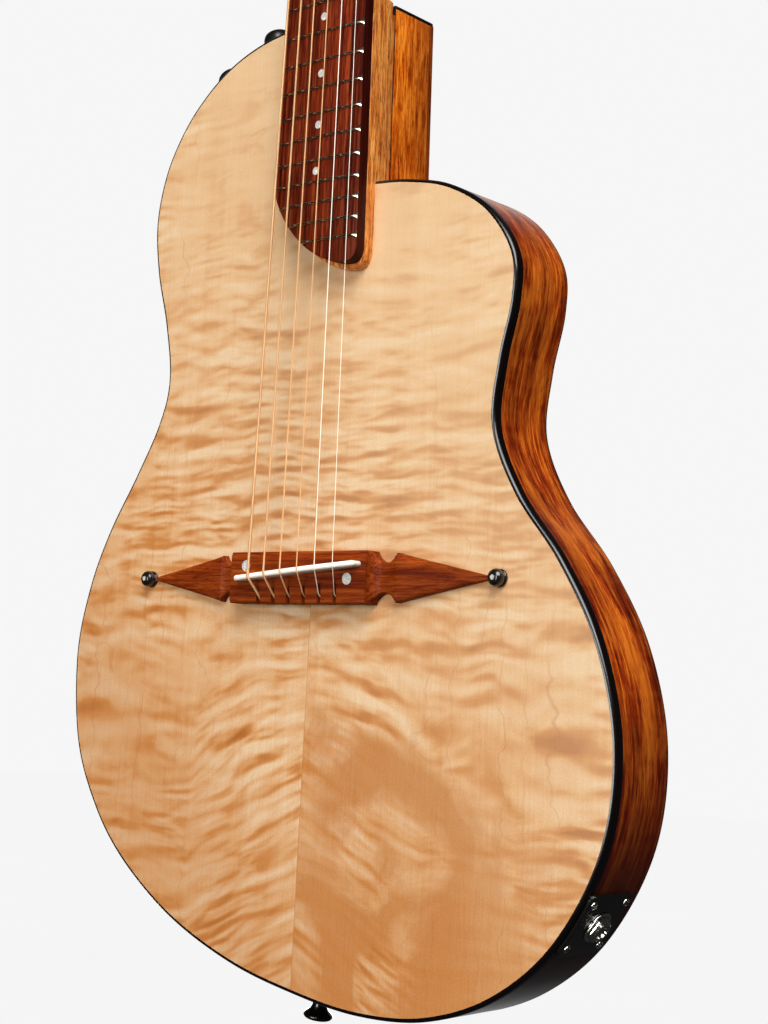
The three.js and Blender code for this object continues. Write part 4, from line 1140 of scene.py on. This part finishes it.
def make_jack():
    thick = 1.7
    place = rim_place(157, -150.2)
    at = outward(place, JACK_Z)
    add("jack_panel", jack_panel(place[2], 16.2, 16.0, 3.2, thick), PLATE,
        replaces=["jack_plate"], angle=30)
    washer = arc_profile([(4.9, thick), (7.6, thick), (7.6, 2.4), (4.9, 2.4)], 0.25)
    add("jack_washer", lathe("washer", washer, 48), CHROME, place=at)
    nut = slab("jack_nut", polygon(6.6, 6, 0.3), 2.5, 4.3, holes=[polygon(4.8, 36, turn=-1)])
    add("jack_hex_nut", softened(nut, 0.35, 2, 30), CHROME, place=at)
    bore, thread, root, pitch = 3.3, 4.7, 4.45, 0.5
    barrel = [(bore, 5.4), (bore, -20), (thread, -20)]
    for k in range(9):
        z = 1.2 + pitch * k
        barrel += [(thread, z - pitch / 2), (root, z)]
    barrel += [(thread, 5.3), (4.2, 5.7), (3.5, 5.7)]
    add("jack_barrel", lathe("jack_barrel", barrel, 48), CHROME, place=at,
        replaces=["output_jack"])
    add("jack_socket_end", rod("socket", 3.25, -18, -17, 24), DARK, place=at)
    for k, (s, z) in enumerate(((-12.1, 12.4), (-12.1, -12.4), (12.1, 12.4), (12.1, -12.4)), 1):
        i = int(np.argmin(np.abs(RIM_LENGTH - place[2] - s)))
        spot = outward((RIM[i] + thick * RIM_OUT[i], RIM_OUT[i], RIM_LENGTH[i]), JACK_Z + z)
        add(f"jack_screw_{k}", phillips_screw(1.9, 1.1), CHROME,
            place=spot @ turned(0.4 * k, "Z"))


def make_strap_button():
    at = outward(rim_place(1, -200), STRAP_Z)
    washer = lathe("strap_felt", arc_profile([(0, -0.5), (6.0, -0.5), (6.0, 0.9), (0, 0.9)], 0.35), 40)
    add("strap_felt", washer, FELT, place=at)
    flare = [(0, 0.9), (4.4, 0.9), (3.8, 2.6), (3.4, 4.6), (3.4, 7.0), (4.3, 9.2), (6.8, 11.2), (7.2, 12.2),
             (6.4, 13.4), (3.4, 13.8), (3.2, 13.2), (0, 13.2)]
    add("strap_flare", lathe("strap_flare", arc_profile(flare, 0.9), 64), BLACK, place=at,
        replaces=["strap_button"])
    add("strap_screw", phillips_screw(2.9, 0.8), CHROME, place=at @ moved(0, 0, 13.1))


def make_cover_screws():
    reach_x, reach_y = COVER_HALF[0] - 4.5, COVER_HALF[1] - 4.5
    for k, (sx, sy) in enumerate(((-1, -1), (1, -1), (1, 1), (-1, 1)), 1):
        spot = moved(COVER[0] + sx * reach_x, COVER[1] + sy * reach_y, BOTTOM - 0.15) @ turned(pi, "X")
        add(f"cover_screw_{k}", phillips_screw(2.3, 0.9), BRUSHED, place=spot)
    for k, y in enumerate((7.5, 22.5), 1):
        add(f"rod_cover_screw_{k}", phillips_screw(1.4, 0.6), BRUSHED,
            place=TILT @ moved(0, y, 1.75))


# ---------- hidden pieces keep their CAD shape with a finished surface ----------
def finish_hidden():
    bare = cabinet_wood("bare_spruce", rgb(232, 205, 160), rgb(216, 186, 138), rgb(180, 146, 98),
                        coat=0.0, gloss=0.7)
    inner = cabinet_wood("bare_mahogany", rgb(188, 124, 80), rgb(160, 96, 58), rgb(116, 64, 36),
                         coat=0.0, gloss=0.7)
    board = polish("circuit_board", rgb(24, 84, 44), 0.4)
    finishes = {
        bare: ["top_brace_waist", "top_brace_lower", "back_brace", "bridge_plate"],
        inner: ["top_lining", "back_lining", "tail_block"],
        BRUSHED: ["truss_rod", "volume_pot", "tone_pot"],
        PLATE: ["saddle_pickup", "battery"],
        board: ["preamp_board"],
    }
    for material, names in finishes.items():
        for name in names:
            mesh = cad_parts[name].data
            mesh.materials.clear()
            mesh.materials.append(material)


# ---------- studio ----------
# The camera looks down on the part from its front right, through a long lens shifted upward.
CAMERA_PLACE = (0.59015, -0.648, -0.70513)
CAMERA_FORWARD = Vector((-0.63697, 0.74977, 0.1792)).normalized()
CAMERA_UP = Vector((0.08038, -0.1666, 0.98274))
LENS, SENSOR, LENS_SHIFT = 62.40586, 36, -0.146484375
BACKDROP = rgb(246, 246, 246)
AIM = Vector((0, 0, -0.6))


def make_camera():
    data = bpy.data.cameras.new("camera")
    camera = bpy.data.objects.new("camera", data)
    bpy.context.scene.collection.objects.link(camera)
    bpy.context.scene.camera = camera
    right = CAMERA_FORWARD.cross(CAMERA_UP).normalized()
    up = right.cross(CAMERA_FORWARD)
    camera.matrix_world = moved(*CAMERA_PLACE) @ Matrix((right, up, -CAMERA_FORWARD)).transposed().to_4x4()
    data.sensor_fit = "AUTO"
    data.sensor_width = SENSOR
    data.lens = LENS
    data.shift_y = LENS_SHIFT
    data.clip_start = 0.02


def make_room():
    """The camera sees a plain pale backdrop; the part sees a dim room with one pale wall beyond it."""
    scene = bpy.context.scene
    world = bpy.data.worlds.new("studio")
    scene.world = world
    world.use_nodes = True
    nodes, links = world.node_tree.nodes, world.node_tree.links
    backdrop, room = nodes["Background"], nodes.new("ShaderNodeBackground")
    backdrop.inputs["Color"].default_value = BACKDROP
    towards = nodes.new("ShaderNodeVectorMath")
    towards.operation = "DOT_PRODUCT"
    towards.inputs[1].default_value = CAMERA_FORWARD
    links.new(nodes.new("ShaderNodeTexCoord").outputs["Generated"], towards.inputs[0])
    wall = nodes.new("ShaderNodeMapRange")
    for key, value in (("From Min", 0.72), ("From Max", 0.95), ("To Min", 0.035), ("To Max", 0.7)):
        wall.inputs[key].default_value = value
    links.new(towards.outputs["Value"], wall.inputs["Value"])
    links.new(wall.outputs[0], room.inputs["Strength"])
    mixed = nodes.new("ShaderNodeMixShader")
    links.new(nodes.new("ShaderNodeLightPath").outputs["Is Camera Ray"], mixed.inputs[0])
    links.new(room.outputs[0], mixed.inputs[1])
    links.new(backdrop.outputs[0], mixed.inputs[2])
    links.new(mixed.outputs[0], nodes["World Output"].inputs[0])
    scene.view_settings.view_transform = "Standard"


def make_floor():
    z, size = CAD_BOX[0].z - 0.45, 8.0
    corners = [(-size, -size, z), (size, -size, z), (size, size, z), (-size, size, z)]
    mesh = make_mesh("floor", corners, [(0, 1, 2, 3)])
    s = Shade("pale_floor", Roughness=1.0, Emission_Strength=1.0, Base_Color=(0, 0, 0, 1),
              Specular_IOR_Level=0.0)
    pale = s.mix(s.noise(s.place((3, 3, 3)), 3.0), BACKDROP, rgb(244, 244, 244))
    s.set(s.base.inputs["Emission Color"], pale)
    mesh.materials.append(s.material)
    floor = bpy.data.objects.new("floor", mesh)
    bpy.context.scene.collection.objects.link(floor)
    floor.visible_glossy = floor.visible_diffuse = floor.visible_transmission = False


def area_light(name, direction, distance, size, power):
    """A rectangular lamp that looks at the part's middle and that the camera doesn't see."""
    data = bpy.data.lights.new(name, "AREA")
    data.shape = "RECTANGLE"
    data.size, data.size_y = size
    data.energy = power
    lamp = bpy.data.objects.new(name, data)
    lamp.location = AIM + distance * Vector(direction).normalized()
    lamp.rotation_mode = "QUATERNION"
    lamp.rotation_quaternion = (AIM - lamp.location).to_track_quat("-Z", "Y")
    lamp.visible_camera = False
    bpy.context.scene.collection.objects.link(lamp)


make_body()
make_heel()
make_neck()
make_fretboard()
make_bridge()
make_strings()
make_tuners()
make_knobs()
make_jack()
make_strap_button()
make_cover_screws()
finish_hidden()
make_camera()
make_room()
make_floor()
area_light("key", (0.66, -0.66, 0.8), 3.9, (2.6, 2.6), 214)
area_light("fill", (0.02, -1.0, 0.0), 3.4, (1.6, 1.6), 89)
area_light("rim", (0.9, -0.1, 1.1), 2.4, (0.8, 1.0), 6)
area_light("back", (-0.66, 0.75, -0.02), 3.4, (1.6, 1.6), 95)
